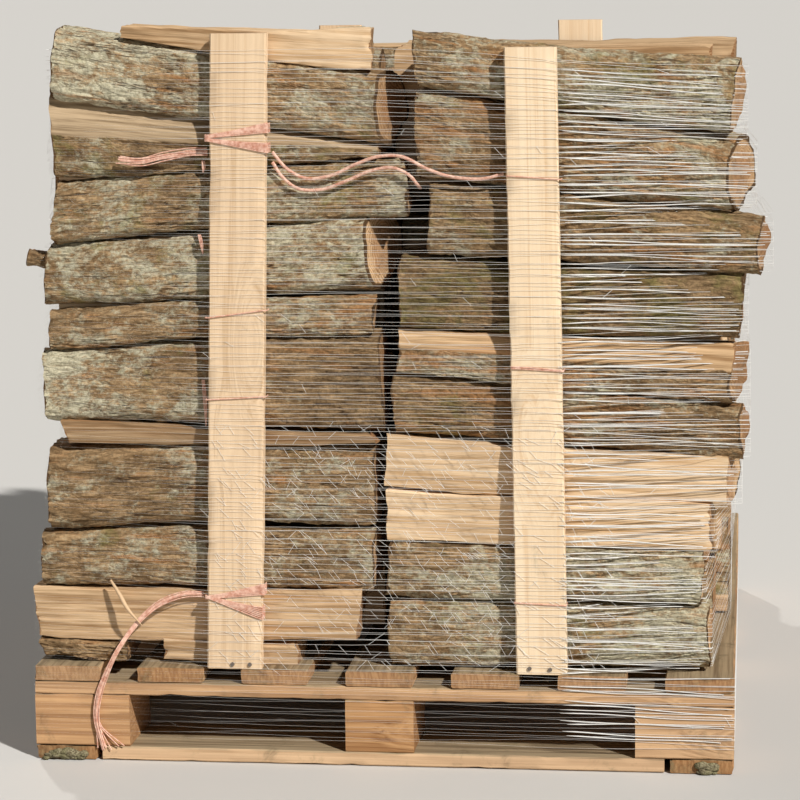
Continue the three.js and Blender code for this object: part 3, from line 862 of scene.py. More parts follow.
def tuft_tree():
    """Sets a rough clump on every point, as large as the point says."""
    w, given = new_tree("tufts", {"Roughness": MOSS_ROUGH})
    ball = w.node("GeometryNodeMeshIcoSphere", {"Radius": 1.0, "Subdivisions": 2}).outputs[0]
    size = w.stored("size")
    flat = w.vector("MULTIPLY", w.join(size, size, size), MOSS_FORM)
    clumps = {"Points": given["Geometry"], "Instance": ball, "Scale": flat}
    clumps = w.node("GeometryNodeInstanceOnPoints", clumps).outputs[0]
    real = w.node("GeometryNodeRealizeInstances", {"Geometry": clumps}).outputs[0]
    bumps = w.minus(w.pattern(w.node("GeometryNodeInputPosition").outputs[0], MOSS_BUMPS), 0.5)
    return end_tree(w, given, pushed_out(w, real, w.times(bumps, given["Roughness"])))


def work(piece, tree, **values):
    """Runs a node tree on a piece and keeps the plain mesh that comes out."""
    modifier = piece.modifiers.new("work", "NODES")
    modifier.node_group = tree
    for item in tree.interface.items_tree:
        if item.in_out == "INPUT" and item.name in values:
            modifier[item.identifier] = values[item.name]
    bpy.context.view_layer.update()
    graph = bpy.context.evaluated_depsgraph_get()
    shown = piece.evaluated_get(graph)
    made = bpy.data.meshes.new_from_object(shown, preserve_all_data_layers=True, depsgraph=graph)
    piece.modifiers.clear()
    piece.data = made


# Meshes, and bodies drawn through rings of points.


def mark(mesh, fact, values, domain="POINT"):
    """Stores a number or a direction for every point or face of a mesh."""
    values = np.asarray(values, np.float32)
    kind, field = ("FLOAT", "value") if values.ndim == 1 else ("FLOAT_VECTOR", "vector")
    mesh.attributes.new(fact, kind, domain).data.foreach_set(field, values.ravel())


def marked_points(name, points, edges, fact, values):
    """An object of bare points and edges with one fact for each point."""
    mesh = bpy.data.meshes.new(name)
    mesh.from_pydata(points, edges, [])
    mark(mesh, fact, values)
    return add_object(name, mesh)


def hand_over(piece, node=None):
    """Rides a finished piece on the body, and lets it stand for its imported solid."""
    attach(piece, "root")
    if node:
        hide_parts(node)


def depth_below(points, rings, bark):
    """How far each point of a ring is from that ring's bark, in metres."""
    found = np.ones(points.shape[:2])
    for s in range(len(points)):
        skin = rings[s][bark[s]]
        if len(skin):
            found[s] = np.linalg.norm(points[s][:, None] - skin[None], axis=2).min(axis=1)
    return found.reshape(-1)


def loft(rings, pith, bark, axis, tone, seed):
    """A closed body through rings of points along an axis, with what its material needs to know."""
    stations, around, _ = rings.shape
    others = [(axis + 1) % 3, (axis + 2) % 3]
    arcs = np.linalg.norm(np.roll(rings, -1, axis=1) - rings, axis=2).mean(axis=0)
    arc = np.concatenate([[0.0], np.cumsum(arcs)[:-1]])
    points = [rings.reshape(-1, 3)]
    piths = [np.repeat(pith, around, axis=0)]
    arc_all = [np.tile(arc, stations)]
    under = [depth_below(rings, rings, bark)]
    side = [np.ones(stations * around)]
    cut = [np.zeros((stations - 1) * around)]
    faces = []
    k = np.arange(around)
    for s in range(stations - 1):
        low = s * around + k
        high = low + around
        faces.extend(np.stack([low, np.roll(low, -1), np.roll(high, -1), high], 1).tolist())
    total = stations * around
    for end in (0, stations - 1):
        ring = rings[end]
        middle = ring.mean(axis=0)
        outer = end * around + k
        for share in CAP_SHARES:
            inner_points = middle + (ring - middle) * share
            points.append(inner_points)
            piths.append(np.repeat(pith[end:end + 1], around, axis=0))
            arc_all.append(arc)
            under.append(depth_below(inner_points[None], ring[None], bark[end:end + 1]))
            side.append(np.zeros(around))
            inner = total + k
            total += around
            strip = np.stack([outer, np.roll(outer, -1), np.roll(inner, -1), inner], 1)
            faces.extend((strip if end else strip[:, ::-1]).tolist())
            outer = inner
        faces.append((outer if end else outer[::-1]).tolist())
        cut.append(np.ones(len(CAP_SHARES) * around + 1))
    points = np.concatenate(points)
    grain = points - np.concatenate(piths)
    along = points[:, axis]
    return {
        "points": points, "faces": faces,
        "grain": np.stack([along + seed * GRAIN_SHIFT, grain[:, others[0]], grain[:, others[1]]], 1),
        "skin": np.stack([along, np.concatenate(arc_all), np.full(len(points), seed * SKIN_SHIFT)], 1),
        "tone": np.tile(np.array(tone, float), (len(points), 1)),
        "under_bark": np.concatenate(under), "side": np.concatenate(side),
        "edge": np.zeros(len(points)), "cut": np.concatenate(cut),
    }


def make_piece(name, bodies):
    """One mesh object from one or more lofted bodies."""
    faces = []
    start = 0
    for body in bodies:
        faces.extend(tuple(i + start for i in face) for face in body["faces"])
        start += len(body["points"])
    mesh = bpy.data.meshes.new(name)
    mesh.from_pydata(np.concatenate([body["points"] for body in bodies]).tolist(), [], faces)
    for fact in ("grain", "skin", "tone", "under_bark", "side", "edge"):
        mark(mesh, fact, np.concatenate([body[fact] for body in bodies]))
    mark(mesh, "cut", np.concatenate([body["cut"] for body in bodies]), "FACE")
    return add_object(name, mesh)


def settle(piece, crease=LOG_CREASE):
    """Rounds the shading, leaving real corners sharp, and drops what only the relief needed."""
    piece.data.shade_smooth()
    piece.data.set_sharp_from_angle(angle=math.radians(crease))
    for spare in ("side", "edge"):
        piece.data.attributes.remove(piece.data.attributes[spare])


def smooth_along(values, reach):
    """A running mean along the first axis, holding the two ends."""
    padded = np.concatenate([values[:1]] * reach + [values] + [values[-1:]] * reach)
    return sum(padded[i:i + len(values)] for i in range(2 * reach + 1)) / (2 * reach + 1)


def ways_round(outline, count, start):
    """Even ways out from the middle of a convex outline, some of them turned to meet its corners."""
    bearings = np.linspace(start, start + 2 * math.pi, count, endpoint=False)
    for corner in np.arctan2(outline[:, 1], outline[:, 0]):
        corner = (corner - start) % (2 * math.pi) + start
        bearings[np.argmin(np.abs(bearings - corner))] = corner
    bearings.sort()
    return np.stack([np.cos(bearings), np.sin(bearings)], 1)


def reach_out(outline, ways):
    """How far it is from the middle of a convex outline to its edge, each way."""
    run = np.roll(outline, -1, axis=0) - outline
    normal = np.stack([run[:, 1], -run[:, 0]], 1)
    slope = ways @ normal.T
    ahead = np.where(slope > TINY, (normal * outline).sum(axis=1) / np.maximum(slope, TINY), FAR)
    return ahead.min(axis=1)


# Front logs.


def front_bark(kind, u, v):
    """Where a front log's skin is bark: u is from front to back and v from the underside up."""
    if kind == "round":
        return np.ones_like(u, bool)
    if kind == "wedge":
        return u < WEDGE_BARK
    if kind == "face":
        return u > FACE_BARK
    return (u < OVER_BARK[0]) & (v < OVER_BARK[1])


def end_middles(node, ends):
    """The middle of a packed log's outline at each of its two ends."""
    spots = np.array([v.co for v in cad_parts[node].data.vertices])
    middles = []
    for x in ends:
        ring = spots[np.abs(spots[:, 0] - x) < PROBE_BAND, 1:]
        middles.append((ring.min(axis=0) + ring.max(axis=0)) / 2)
    return middles


def probe(node, places, centres, angles):
    """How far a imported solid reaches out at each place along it, at each angle round its middle."""
    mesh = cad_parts[node].data
    solid = BVHTree.FromPolygons([v.co for v in mesh.vertices], [list(p.vertices) for p in mesh.polygons])
    reach = np.full((len(places), len(angles)), PROBE_MISS)
    for s, x in enumerate(places):
        middle = Vector((x, *centres[s]))
        for k, angle in enumerate(angles):
            hit = solid.ray_cast(middle, Vector((0, math.cos(angle), math.sin(angle))))[0]
            if hit is not None:
                reach[s, k] = (hit - middle).length
    return reach


def front_log(node, kind, tone, seed):
    """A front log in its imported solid's form, flattened in front, pressed on the next log and sawn."""
    low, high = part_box(node)
    ends = (low[0] + PROBE_INSET, high[0] - PROBE_INSET)
    shares = np.linspace(0, 1, FRONT_STATIONS)
    places = between(ends, shares)
    centres = between(end_middles(node, ends), shares[:, None])
    angles = np.linspace(0, 2 * math.pi, FRONT_AROUND, endpoint=False)
    angles += FRONT_CROWD * np.sin(angles)
    reach = smooth_along(probe(node, places, centres, angles), PROBE_SMOOTH)
    reach = reach * between(FRONT_SWELL.get(node, (1.0, 1.0)), shares)[:, None]
    rings = np.zeros((FRONT_STATIONS, FRONT_AROUND, 3))
    rings[:, :, 0] = places[:, None]
    rings[:, :, 1] = centres[:, :1] + reach * np.cos(angles)
    rings[:, :, 2] = centres[:, 1:] + reach * np.sin(angles)
    lowest = rings[:, :, 1:].min(axis=1)
    span = rings[:, :, 1:].max(axis=1) - lowest
    u = (rings[:, :, 1] - lowest[:, :1]) / span[:, :1]
    v = (rings[:, :, 2] - lowest[:, 1:]) / span[:, 1:]
    pith = np.zeros((FRONT_STATIONS, 3))
    pith[:, 1:] = lowest + span * PITHS[kind]
    squeezed = np.where(u < 0.5, 0.5 * (2 * np.clip(u, 0.0, 0.5)) ** FRONT_FLAT[kind], u)
    press = 1.0 if node in TOP_LOGS else FRONT_PRESS
    rings[:, :, 1] = lowest[:, :1] + span[:, :1] * squeezed
    rings[:, :, 2] = lowest[:, 1:] + span[:, 1:] * v * press
    slant_ends(rings, u, v, seed, FRONT_END_WAVE, SKEW_ENDS.get(node, 0.0))
    bow = FRONT_BOW * np.sin(shares * (3 + 3 * scatter(seed + 5)) + 6 * scatter(seed + 6))
    rings[:, :, 2] += (bow - bow.mean())[:, None]
    return chip_ends(loft(rings, pith, front_bark(kind, u, v), 0, tone, seed), FRONT_AROUND, FRONT_STATIONS)


def slant_ends(rings, u, v, seed, wave=0.0, skew=0.0):
    """Saws the two ends a little out of square and unevenly, never past the log's own length."""
    for end, way, n, shorter in ((0, 1, 0, 0.0), (len(rings) - 1, -1, 3, skew)):
        across = u[end] - 0.5
        up = v[end] - 0.5
        turn = np.arctan2(up, across)
        lean = END_LEAN * ((scatter(seed + n) - 0.5) * across + (scatter(seed + n + 1) - 0.5) * up)
        lean -= shorter * u[end]
        lean += wave * np.sin(3 * turn + 6 * scatter(seed + n + 20))
        lean += 0.6 * wave * np.sin(7 * turn + 6 * scatter(seed + n + 21))
        rings[end, :, 0] += way * (lean - lean.min())
    shares = np.linspace(0, 1, len(rings))[:, None]
    rings[:, :, 0] = between((rings[0, :, 0], rings[-1, :, 0]), shares)


def chip_ends(body, around, stations):
    """Marks the rims of a log's two ends as worn, so that chips come off them."""
    for ring, share in ((0, 1.0), (1, 0.5), (stations - 2, 0.5), (stations - 1, 1.0)):
        body["edge"][ring * around:(ring + 1) * around] = share
    return body


def make_front_logs(relief, firewood):
    for index, (node, (kind, pale, orange, moss)) in enumerate(FRONT_LOGS.items()):
        body = front_log(node, kind, (0.0, orange, moss), index + 1)
        along = body["points"][:, 0]
        body["tone"][:, 0] = between(pale, (along - along.min()) / np.ptp(along))
        piece = make_piece(node + "_wood", [body])
        work(piece, relief, Material=firewood)
        settle(piece)
        hand_over(piece, node)


# Logs behind.


def stack_sites(side):
    """Each log's middle in a column, and the points that hold the outer logs in."""
    rise = (STACK_TOP_FRONT - DECK_TOP) / STACK_ROWS
    pitch = (STACK_BACK - STACK_FRONT) / STACK_FILES
    slope = (STACK_TOP_BACK - STACK_TOP_FRONT) / (STACK_BACK - STACK_FRONT)
    sites = []
    edges = []
    for row in range(STACK_ROWS):
        for file in range(STACK_FILES):
            seed = 1000 * side + 40 * row + 3 * file
            stray = [STACK_JITTER * (scatter(seed + n) - 0.5) for n in (0, 1)]
            y = STACK_FRONT + pitch * (file + STACK_STAGGER[row % 2] + stray[0])
            z = DECK_TOP + rise * (row + 0.5 + stray[1])
            dip = STACK_EDGE_DIP * scatter(seed + 2)
            sites.append((y, z, seed, row, file))
            if row == STACK_ROWS - 1:
                top = STACK_TOP_FRONT + slope * (y - STACK_FRONT)
                edges.append((y + dip - STACK_EDGE_DIP / 2, 2 * top - z - dip))
            if file == STACK_FILES - 1:
                edges.append((2 * STACK_BACK - y - dip, z + dip - STACK_EDGE_DIP / 2))
    return sites, edges


def nearer_part(outline, a, b):
    """The part of an outline that is nearer to a than to b."""
    way = np.subtract(b, a)
    limit = (np.dot(b, b) - np.dot(a, a)) / 2
    kept = []
    for i, here in enumerate(outline):
        after = outline[(i + 1) % len(outline)]
        now = np.dot(way, here) - limit
        then = np.dot(way, after) - limit
        if now <= 0:
            kept.append(here)
        if (now < 0) != (then < 0):
            kept.append(between((here, after), now / (now - then)))
    return kept


def stack_cell(site, others):
    """A log's own room in the stack: all that is nearer to its middle than to any other's."""
    base = DECK_TOP + STACK_LIFT
    top = STACK_TOP_FRONT
    corners = ((STACK_FRONT, base), (STACK_BACK, base), (STACK_BACK, top), (STACK_FRONT, top))
    outline = [np.array(corner) for corner in corners]
    for other in others:
        outline = nearer_part(outline, site, other)
    return np.array(outline)


def stack_pith(cell, site, fine):
    """A corner of the log's section where its pith was; outer logs mostly turn their bark outwards."""
    _, _, seed, row, file = site
    turned = fine and scatter(seed + 8) < STACK_TURNED
    if turned and row == STACK_ROWS - 1:
        return cell[np.argmin(cell[:, 1])]
    if turned and file == STACK_FILES - 1:
        return cell[np.argmin(cell[:, 0])]
    return cell[int(scatter(seed + 7) * len(cell))]


def stacked_log(cell, site, side, fine):
    """A split log that fills its share of the stack, with bark where it is furthest from the pith."""
    seed = site[2]
    middle = cell.mean(axis=0)
    cell = middle + (cell - middle) * between(STACK_FILL, scatter(seed + 6))
    pith = middle if scatter(seed + 9) < STACK_WHOLE else stack_pith(cell, site, fine)
    limit = np.linalg.norm(cell - pith, axis=1).max() * between(STACK_BARK, scatter(seed + 10))
    around, stations = STACK_FINE if fine else STACK_COARSE
    ways = ways_round(cell - middle, around, -math.pi / 2)
    flat = reach_out(cell - middle, ways)
    shift = middle - pith
    half = ways @ shift
    round_reach = -half + np.sqrt(half ** 2 - shift @ shift + limit ** 2)
    reach = np.minimum(flat, round_reach)
    shares = np.linspace(0, 1, stations)
    inner = side * between(STACK_INNER_END, scatter(seed + 4))
    outer = side * between(STACK_OUTER_END, scatter(seed + 5))
    wave = np.sin(shares * (3 + 4 * scatter(seed + 11)) + 6 * scatter(seed + 12))
    swell = 1 - STACK_SWELL + STACK_SWELL * wave
    rings = np.zeros((stations, around, 3))
    rings[:, :, 0] = between(sorted((inner, outer)), shares)[:, None]
    rings[:, :, 1:] = middle + swell[:, None, None] * (reach[:, None] * ways)[None]
    bark = np.tile(round_reach < flat + STACK_BARK_SLACK, (stations, 1))
    piths = np.tile(np.array([0.0, *pith]), (stations, 1))
    u, v = np.moveaxis((rings[:, :, 1:] - middle) / np.ptp(cell, axis=0) + 0.5, 2, 0)
    slant_ends(rings, u, v, seed)
    pale = between(STACK_PALE, scatter(seed + 13))
    tone = (pale, STACK_ORANGE * scatter(seed + 14), STACK_MOSS * scatter(seed + 15) ** 2)
    return chip_ends(loft(rings, piths, bark, 0, tone, 3 + 0.37 * (seed % 97)), around, stations)


def make_stacks(relief, firewood):
    for name, side in (("stacked_logs_left", -1), ("stacked_logs_right", 1)):
        sites, edges = stack_sites(side)
        groups = {"outer": [], "inner": []}
        for index, site in enumerate(sites):
            others = [s[:2] for i, s in enumerate(sites) if i != index] + edges
            cell = stack_cell(site[:2], others)
            fine = site[3] == STACK_ROWS - 1 or site[4] == STACK_FILES - 1
            groups["outer" if fine else "inner"].append(stacked_log(cell, site, side, fine))
        for part, bodies in groups.items():
            piece = make_piece(f"{name}_{part}", bodies)
            work(piece, relief, Material=firewood)
            settle(piece)
            hand_over(piece, name)


# Sawn boards, blocks and uprights.


def sawn_ring(width, depth):
    """A board's section as an outline with slightly eased corners, and which of its points are corners."""
    spots = []
    corner = []
    for x, y, step in ((1, -1, (0, 1)), (1, 1, (-1, 0)), (-1, 1, (0, -1)), (-1, -1, (1, 0))):
        start = np.array([x * width / 2, y * depth / 2])
        length = depth if step[0] == 0 else width
        count = max(2, int(round(length / BOARD_STEP)))
        ease = min(BOARD_EDGE, length / 8)
        for i, along in enumerate(np.linspace(ease, length - ease, count + 1)):
            spots.append(start + np.array(step) * along)
            corner.append(1.0 if i in (0, count) else 0.0)
    return np.array(spots), np.array(corner)


def sawn_board(node, axis, tone, seed):
    """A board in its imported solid's form, which may lean from one end to the other."""
    low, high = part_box(node)
    others = [(axis + 1) % 3, (axis + 2) % 3]
    spots = np.array([v.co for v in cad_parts[node].data.vertices])
    halfway = (low[axis] + high[axis]) / 2
    near = spots[spots[:, axis] < halfway]
    far = spots[spots[:, axis] > halfway]
    middles = [(end.min(axis=0) + end.max(axis=0)) / 2 for end in (near, far)]
    size = np.ptp(near, axis=0)
    outline, corner = sawn_ring(size[others[0]], size[others[1]])
    stations = max(6, int(round((high[axis] - low[axis]) / BOARD_STEP)))
    shares = np.linspace(0, 1, stations)[:, None]
    piths = between(middles, shares)
    rings = np.zeros((stations, len(outline), 3))
    rings[:, :, axis] = between((low[axis], high[axis]), shares)
    rings[:, :, others] = piths[:, None, others] + outline
    piths[:, axis] = 0
    body = loft(rings, piths, np.zeros(rings.shape[:2], bool), axis, tone, seed)
    edge = np.tile(corner, (stations, 1))
    edge[0] = 1
    edge[-1] = 1
    body["edge"][:edge.size] = edge.ravel()
    return body


def board_list():
    """Every sawn piece: its node, the axis it runs along, its tone and its slot."""
    boards = []
    for side in ("left", "right"):
        boards.append((f"bottom_board_{side}", 1, FOOT_TONE, "pallet_wood"))
    for place in ("front", "middle", "back"):
        boards.append((f"bottom_board_{place}", 0, CROSS_TONE, "pallet_wood"))
        boards.append((f"stringer_{place}", 0, STRINGER_TONE, "pallet_wood"))
        for side, tone in BLOCK_TONES.items():
            boards.append((f"block_{place}_{side}", 0, tone, "pallet_wood"))
    for number in range(1, DECK_BOARDS + 1):
        pale = between(DECK_PALE, scatter(number))
        boards.append((f"deck_board_{number}", 1, (pale, DECK_ORANGE, DECK_DIRTY), "pallet_wood"))
    for place in ("front", "back"):
        for side, tone in SLAT_TONES.items():
            boards.append((f"upright_{place}_{side}", 2, tone, "slat_wood"))
    return boards


def make_boards(relief, sawn):
    for index, (node, axis, tone, slot) in enumerate(board_list()):
        piece = make_piece(node + "_wood", [sawn_board(node, axis, tone, index + 1)])
        wear = ROTTEN_WEAR if tone[2] > ROTTEN_FROM else BOARD_WEAR
        work(piece, relief, **BOARD_RELIEF, **{"Edge Wear": wear, "Material": sawn})
        settle(piece, BOARD_CREASE)
        hand_over(piece, node)


# Twine and ties.


def follow(points, step):
    """A smooth line through points, as closely spaced points."""
    spots = np.array(points, float)
    ends = np.concatenate([[2 * spots[0] - spots[1]], spots, [2 * spots[-1] - spots[-2]]])
    line = []
    for i in range(1, len(ends) - 2):
        a, b, c, d = ends[i - 1:i + 3]
        count = max(2, int(np.linalg.norm(c - b) / step))
        for t in np.arange(count) / count:
            bend = (2 * a - 5 * b + 4 * c - d) * t ** 2 + (3 * b - a - 3 * c + d) * t ** 3
            line.append((2 * b + (c - a) * t + bend) / 2)
    line.append(spots[-1])
    return np.array(line)


def travel_along(line):
    """How far along a line each of its points is."""
    return np.concatenate([[0.0], np.cumsum(np.linalg.norm(np.diff(line, axis=0), axis=1))])


def rope(line, thick, seed, groove=0.0, taper=0.0):
    """A tube along a line, laid up from twisted strands where it has grooves."""
    ways = np.gradient(line, axis=0)
    ways /= np.linalg.norm(ways, axis=1)[:, None]
    side = np.cross(ways[0], (0.0, 1.0, 0.0))
    travel = travel_along(line)
    turn = np.linspace(0, 2 * math.pi, ROPE_AROUND, endpoint=False)
    rings = np.zeros((len(line), ROPE_AROUND, 3))
    for s, way in enumerate(ways):
        side = side - way * np.dot(side, way)
        side /= np.linalg.norm(side)
        strands = np.abs(np.cos(ROPE_STRANDS / 2 * (turn - travel[s] * ROPE_TWIST)))
        thinner = taper * abs(2 * s / (len(line) - 1) - 0.8) ** 1.5
        reach = thick / 2 * (1 - groove + groove * strands) * (1 - thinner)
        rings[s] = line[s] + np.outer(reach * np.cos(turn), side)
        rings[s] += np.outer(reach * np.sin(turn), np.cross(way, side))
    body = loft(rings, line, np.zeros(rings.shape[:2], bool), 0, (0.5, 0.5, 0.5), seed)
    body["skin"][:len(line) * ROPE_AROUND, 0] = np.repeat(travel, ROPE_AROUND)
    return body


def make_twine(twine):
    lengths = (
        ("twine_loop", TWINE_LOOP, "object"), ("twine_cross_upper", TWINE_CROSS_UPPER, "object"),
        ("twine_cross_lower", TWINE_CROSS_LOWER, "object"), ("twine_tail", TWINE_TAIL, "bare"),
    )
    for index, (node, points, far_end) in enumerate(lengths):
        line = follow(points, TWINE_STEP)
        piece = make_piece(node + "_strand", [rope(line, TWINE, index + 1, ROPE_GROOVE)])
        piece.data.materials.append(twine)
        settle(piece)
        hand_over(piece, node)


def beside(points, count, width):
    """Loose fibres that run beside a length of twine and make a flat, frayed band of it."""
    spots = np.array(points, float)
    ways = np.gradient(spots, axis=0)
    across = np.column_stack([-ways[:, 2], np.zeros(len(ways)), ways[:, 0]])
    across /= np.linalg.norm(across, axis=1)[:, None]
    places = np.arange(len(spots))
    lines = []
    for i in range(count):
        sway = 1 - BAND_SWAY + BAND_SWAY * np.sin(1.3 * places + 2.1 * i)
        line = spots + across * (width * (i / (count - 1) - 0.5) * sway)[:, None]
        line[:, 1] -= BAND_STAND_OFF * (1 + scatter(i + count))
        line[-1] += (line[-1] - line[-2]) * 0.25 * scatter(3 * i + count)
        lines.append(follow(line, BAND_STEP))
    return lines


def tie_lines():
    """Every fibre that is tied round an upright."""
    lines = []
    for left, right, height, fan, count in TIES:
        for i in range(count):
            share = (i + 0.5) / count
            near = height + TIE_GATHER * (share - 0.5)
            far = between(fan, share)
            halfway = ((left + right) / 2, TIE_FRONT, (near + far) / 2 + TIE_BOW * math.sin(7 * i))
            first = [(left + x, y, near) for x, y in TIE_WRAP]
            last = [(right - x, y, far) for x, y in reversed(TIE_WRAP)]
            lines.append(follow([*first, halfway, *last], TIE_STEP))
    return lines


def frayed_lines():
    """Every fibre that frays out of the loop's foot, out of the twine or beside the left upright."""
    lines = []
    for i, (x, z) in enumerate(LOOP_FOOT):
        aside = np.array([LOOP_FOOT_SPREAD * (i - (len(LOOP_FOOT) - 1) / 2), 0.0, 0.0])
        foot = [LOOP_FOOT_TOP + aside, LOOP_FOOT_MIDDLE + 2 * aside, (x, LOOP_FOOT_FACE, z)]
        lines.append(follow(foot, LOOP_FOOT_STEP))
    lines.extend(beside(TWINE_LOOP, *LOOP_FIBRES))
    lines.extend(beside(TWINE_TAIL, *TAIL_FIBRES))
    for (x, z), (x_end, z_end) in SHADED_BITS:
        for i in range(SHADED_FIBRES):
            start = (x + 0.75 * SHADED_SPREAD * i, TIE_BEHIND, z)
            halfway = ((x + x_end) / 2 + SHADED_SPREAD * i, TIE_BEHIND - SHADED_SPREAD, (z + z_end) / 2)
            lines.append(follow([start, halfway, (x_end, TIE_BEHIND, z_end)], SHADED_STEP))
    return lines


def strand_piece(name, lines, weights, closed=0):
    """Round strands as bare lines of points, each with its weight; the first ones close on themselves."""
    edges = []
    start = 0
    for index, line in enumerate(lines):
        count = len(line)
        steps = np.arange(count if index < closed else count - 1)
        edges.extend(zip((start + steps).tolist(), (start + (steps + 1) % count).tolist()))
        start += count
    return marked_points(name, np.concatenate(lines).tolist(), edges, "weight", np.concatenate(weights))


def make_ties(strands, twine):
    lines = tie_lines() + frayed_lines()
    piece = strand_piece("tie_fibres", lines, [np.ones(len(line)) for line in lines])
    work(piece, strands, Radius=TIE_RADIUS, Sides=TIE_SIDES, Material=twine)
    hand_over(piece)


# Small things.


def make_nails(nails, steel):
    places = [(x, -NAIL_FACE, z) for x, z in NAILS_FRONT] + [(x, NAIL_FACE, z) for x, z in NAILS_BACK]
    facing = [(0, -1, 0)] * len(NAILS_FRONT) + [(0, 1, 0)] * len(NAILS_BACK)
    piece = marked_points("nail_heads", places, [], "facing", facing)
    work(piece, nails, Radius=NAIL_RADIUS, Height=NAIL_HEIGHT, Material=steel)
    hand_over(piece)


def make_moss(tufts, moss):
    """Grey moss and dirt that cling under the pallet's front."""
    dice = np.random.default_rng(19)
    points = []
    sizes = []
    for (x, y), spread, count in MOSS_PATCHES:
        for _ in range(count):
            drift = spread * dice.standard_normal() / 2
            size = MOSS_LEAST + MOSS_MORE * dice.random() * math.exp(-(drift / spread) ** 2)
            stray = MOSS_STRAY * dice.standard_normal()
            points.append((x + drift, y + stray, size * between(MOSS_RISE, dice.random())))
            sizes.append(size)
    piece = marked_points("moss", points, [], "size", sizes)
    work(piece, tufts, Roughness=MOSS_ROUGH, Material=moss)
    piece.data.shade_smooth()
    hand_over(piece)


def make_splinter(sawn):
    body = rope(follow(SPLINTER, SPLINTER_STEP), SPLINTER_THICK, 41, taper=SPLINTER_TAPER)
    piece = make_piece("splinter", [body])
    piece.data.materials.append(sawn)
    settle(piece)
    hand_over(piece)


def make_branch_stub(relief, firewood):
    body = rope(follow(BRANCH_STUB, BRANCH_STEP), BRANCH_THICK, 43)
    body["under_bark"][:] = np.where(body["side"] > 0, 0.0, BRANCH_BARK)
    piece = make_piece("branch_stub", [body])
    work(piece, relief, Material=firewood)
    settle(piece)
    hand_over(piece)


# Net.


def load_triangles():
    """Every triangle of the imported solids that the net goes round."""
    found = []
    for name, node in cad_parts.items():
        if not name.startswith("twine"):
            spots = np.array([v.co for v in node.data.vertices])
            node.data.calc_loop_triangles()
            found.append(spots[np.array([t.vertices for t in node.data.loop_triangles])])
    return np.concatenate(found)


def turn_of(a, b, c):
    """Above 0 where the way from a over b to c turns left."""
    return (b[0] - a[0]) * (c[1] - a[1]) - (b[1] - a[1]) * (c[0] - a[0])


def outer_line(triangles, height):
    """The line that a tight strand takes round the load at a height."""
    spots = []
    for i in range(3):
        a = triangles[:, i]
        b = triangles[:, (i + 1) % 3]
        crosses = (a[:, 2] - height) * (b[:, 2] - height) < 0
        share = (height - a[crosses, 2]) / (b[crosses, 2] - a[crosses, 2])
        spots.append(between((a[crosses, :2], b[crosses, :2]), share[:, None]))
    spots = sorted(map(tuple, np.concatenate(spots).round(4)))
    lines = []
    for order in (spots, spots[::-1]):
        half = []
        for p in order:
            while len(half) > 1 and turn_of(half[-2], half[-1], p) <= 0:
                half.pop()
            half.append(p)
        lines.extend(half[:-1])
    return np.array(lines)


def net_weight(line):
    """How thick the net lies: hardly there at the left of the front, finer over the pockets and elsewhere."""
    front = np.interp(line[:, 0], NET_FRONT_PLACES, NET_FRONT_WEIGHTS)
    low = (line[:, 2] < DECK_TOP) & (line[:, 0] < NET_FRONT_PLACES[-1])
    return np.where(line[:, 1] < NET_FRONT_FROM, np.where(low, NET_LOW_SHARE * front, front), NET_ELSEWHERE)


def net_rows(dice):
    """Each strand's closed line round the load, from the lowest up; the top ones sag behind."""
    triangles = load_triangles()
    turn = np.arange(NET_POINTS) / NET_POINTS * 2 * math.pi
    rows = []
    for k in range(NET_STRANDS):
        height = between((NET_LOW, NET_HIGH), (k + 0.6 * (dice.random() - 0.5)) / (NET_STRANDS - 1))
        outline = outer_line(triangles, min(height, NET_HELD))
        ways = ways_round(outline, NET_POINTS, -math.pi)
        line = ways * (reach_out(outline, ways) + NET_STAND_OFF)[:, None]
        wave = sum(size * np.sin(turn * count + 6.3 * dice.random()) for size, count in NET_WAVES)
        wave += NET_WANDER * np.sin(2.4 * k + 4 * np.sin(turn * 3))
        wave += NET_SHAKE * dice.standard_normal(NET_POINTS)
        slope = (line[:, 1] - LOAD_FRONT) / LOAD_DEPTH + np.maximum(line[:, 0], 0.0) / LOAD_HALF
        sag = NET_SAG * slope * np.interp(height, (NET_SAG_FROM, NET_HIGH), (0.0, 1.0))
        rows.append(np.column_stack([line, height + wave - sag]))
    return rows


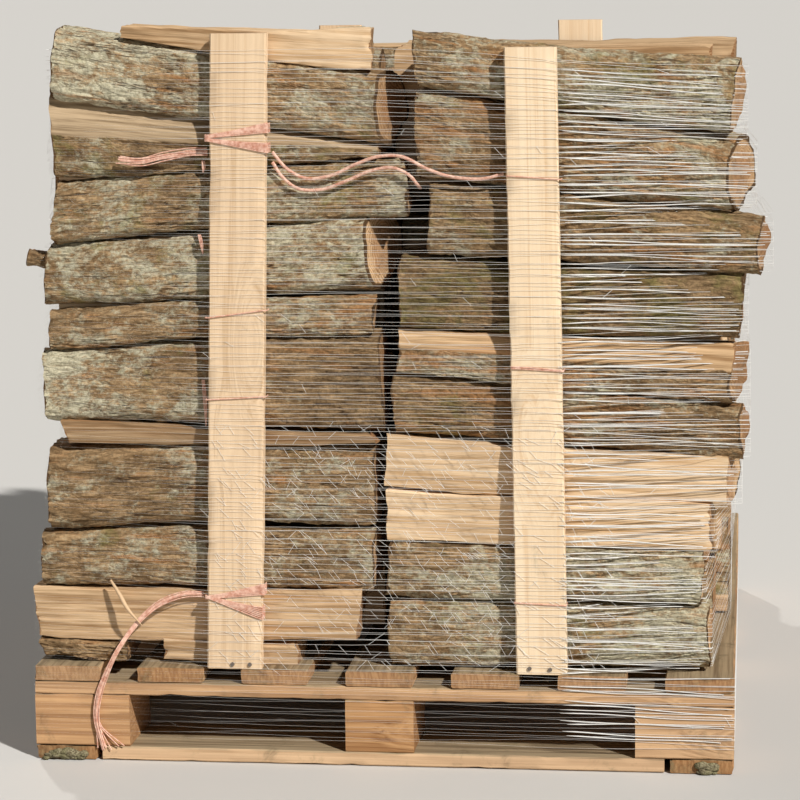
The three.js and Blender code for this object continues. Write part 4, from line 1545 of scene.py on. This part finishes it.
def net_bunches(rows, dice):
    """Where the net is drawn together: bright lines from the right upright out to the logs' ends."""
    shares = np.linspace(0, 1, NET_BUNCH_POINTS)
    bunches = []
    weights = []
    for i in range(NET_BUNCHES):
        k = int((i + 0.2 + 0.6 * dice.random()) * (NET_STRANDS - 6) / NET_BUNCHES) + 3
        drop = BUNCH_DROP * dice.random()
        right = rows[k][(rows[k][:, 1] < BUNCH_IN_FRONT_OF) & (rows[k][:, 0] > BUNCH_RIGHT_OF)]
        right = right[np.argsort(right[:, 0])]
        first = between(BUNCH_START, dice.random())
        last = right[-1, 0] - BUNCH_SHORT * dice.random()
        x = between((first, last), shares)
        y = np.interp(x, right[:, 0], right[:, 1]) - NET_STAND_OFF / 2
        wave = BUNCH_WAVE * np.sin(7 * shares + 6.3 * dice.random())
        z = np.interp(x, right[:, 0], right[:, 2]) - drop * shares + wave
        bunches.append(np.column_stack([x, y, z]))
        bold = between(BUNCH_BOLD, dice.random())
        weights.append(bold * np.interp(shares, BUNCH_ALONG, BUNCH_WEIGHTS))
    return bunches, weights


def net_threads(rows, dice):
    """Short broken threads that slant from one strand to the next but one."""

    def on_strand(k, place):
        step = int(place) % NET_POINTS
        return between((rows[k][step], rows[k][(step + 1) % NET_POINTS]), place % 1)

    threads = []
    for _ in range(NET_THREADS):
        low = dice.random() < THREADS_LOW
        row = between(THREAD_ROWS if low else (0, 1), dice.random())
        place = NET_POINTS * between(THREAD_PLACES if low else (0, 1), dice.random())
        lean = between(THREAD_LEAN, dice.random()) * (1 if dice.random() < THREADS_BACK else -1)
        k = int((NET_STRANDS - 3) * row)
        threads.append(np.array([on_strand(k + 2, place), on_strand(k, place - lean)]))
    return threads


def make_net(strands, net):
    dice = np.random.default_rng(7)
    rows = net_rows(dice)
    bunches, bunch_weights = net_bunches(rows, dice)
    threads = net_threads(rows, dice)
    weights = [net_weight(line) for line in rows] + bunch_weights
    weights += [THREAD_WEIGHT * net_weight(line) for line in threads]
    piece = strand_piece("net", rows + bunches + threads, weights, len(rows))
    work(piece, strands, Radius=NET_RADIUS, Sides=NET_SIDES, Material=net)
    hand_over(piece)


make_camera()
make_light()
make_floor()
twine_look = twine_material()
firewood_look = firewood_material()
sawn_look = sawn_material()
wood_relief = relief_tree()
round_strands = strand_tree()
make_twine(twine_look)
make_front_logs(wood_relief, firewood_look)
make_stacks(wood_relief, firewood_look)
make_branch_stub(wood_relief, firewood_look)
make_boards(wood_relief, sawn_look)
make_splinter(sawn_look)
make_moss(tuft_tree(), moss_material())
make_nails(nail_tree(), steel_material())
make_ties(round_strands, twine_look)
make_net(round_strands, net_material())
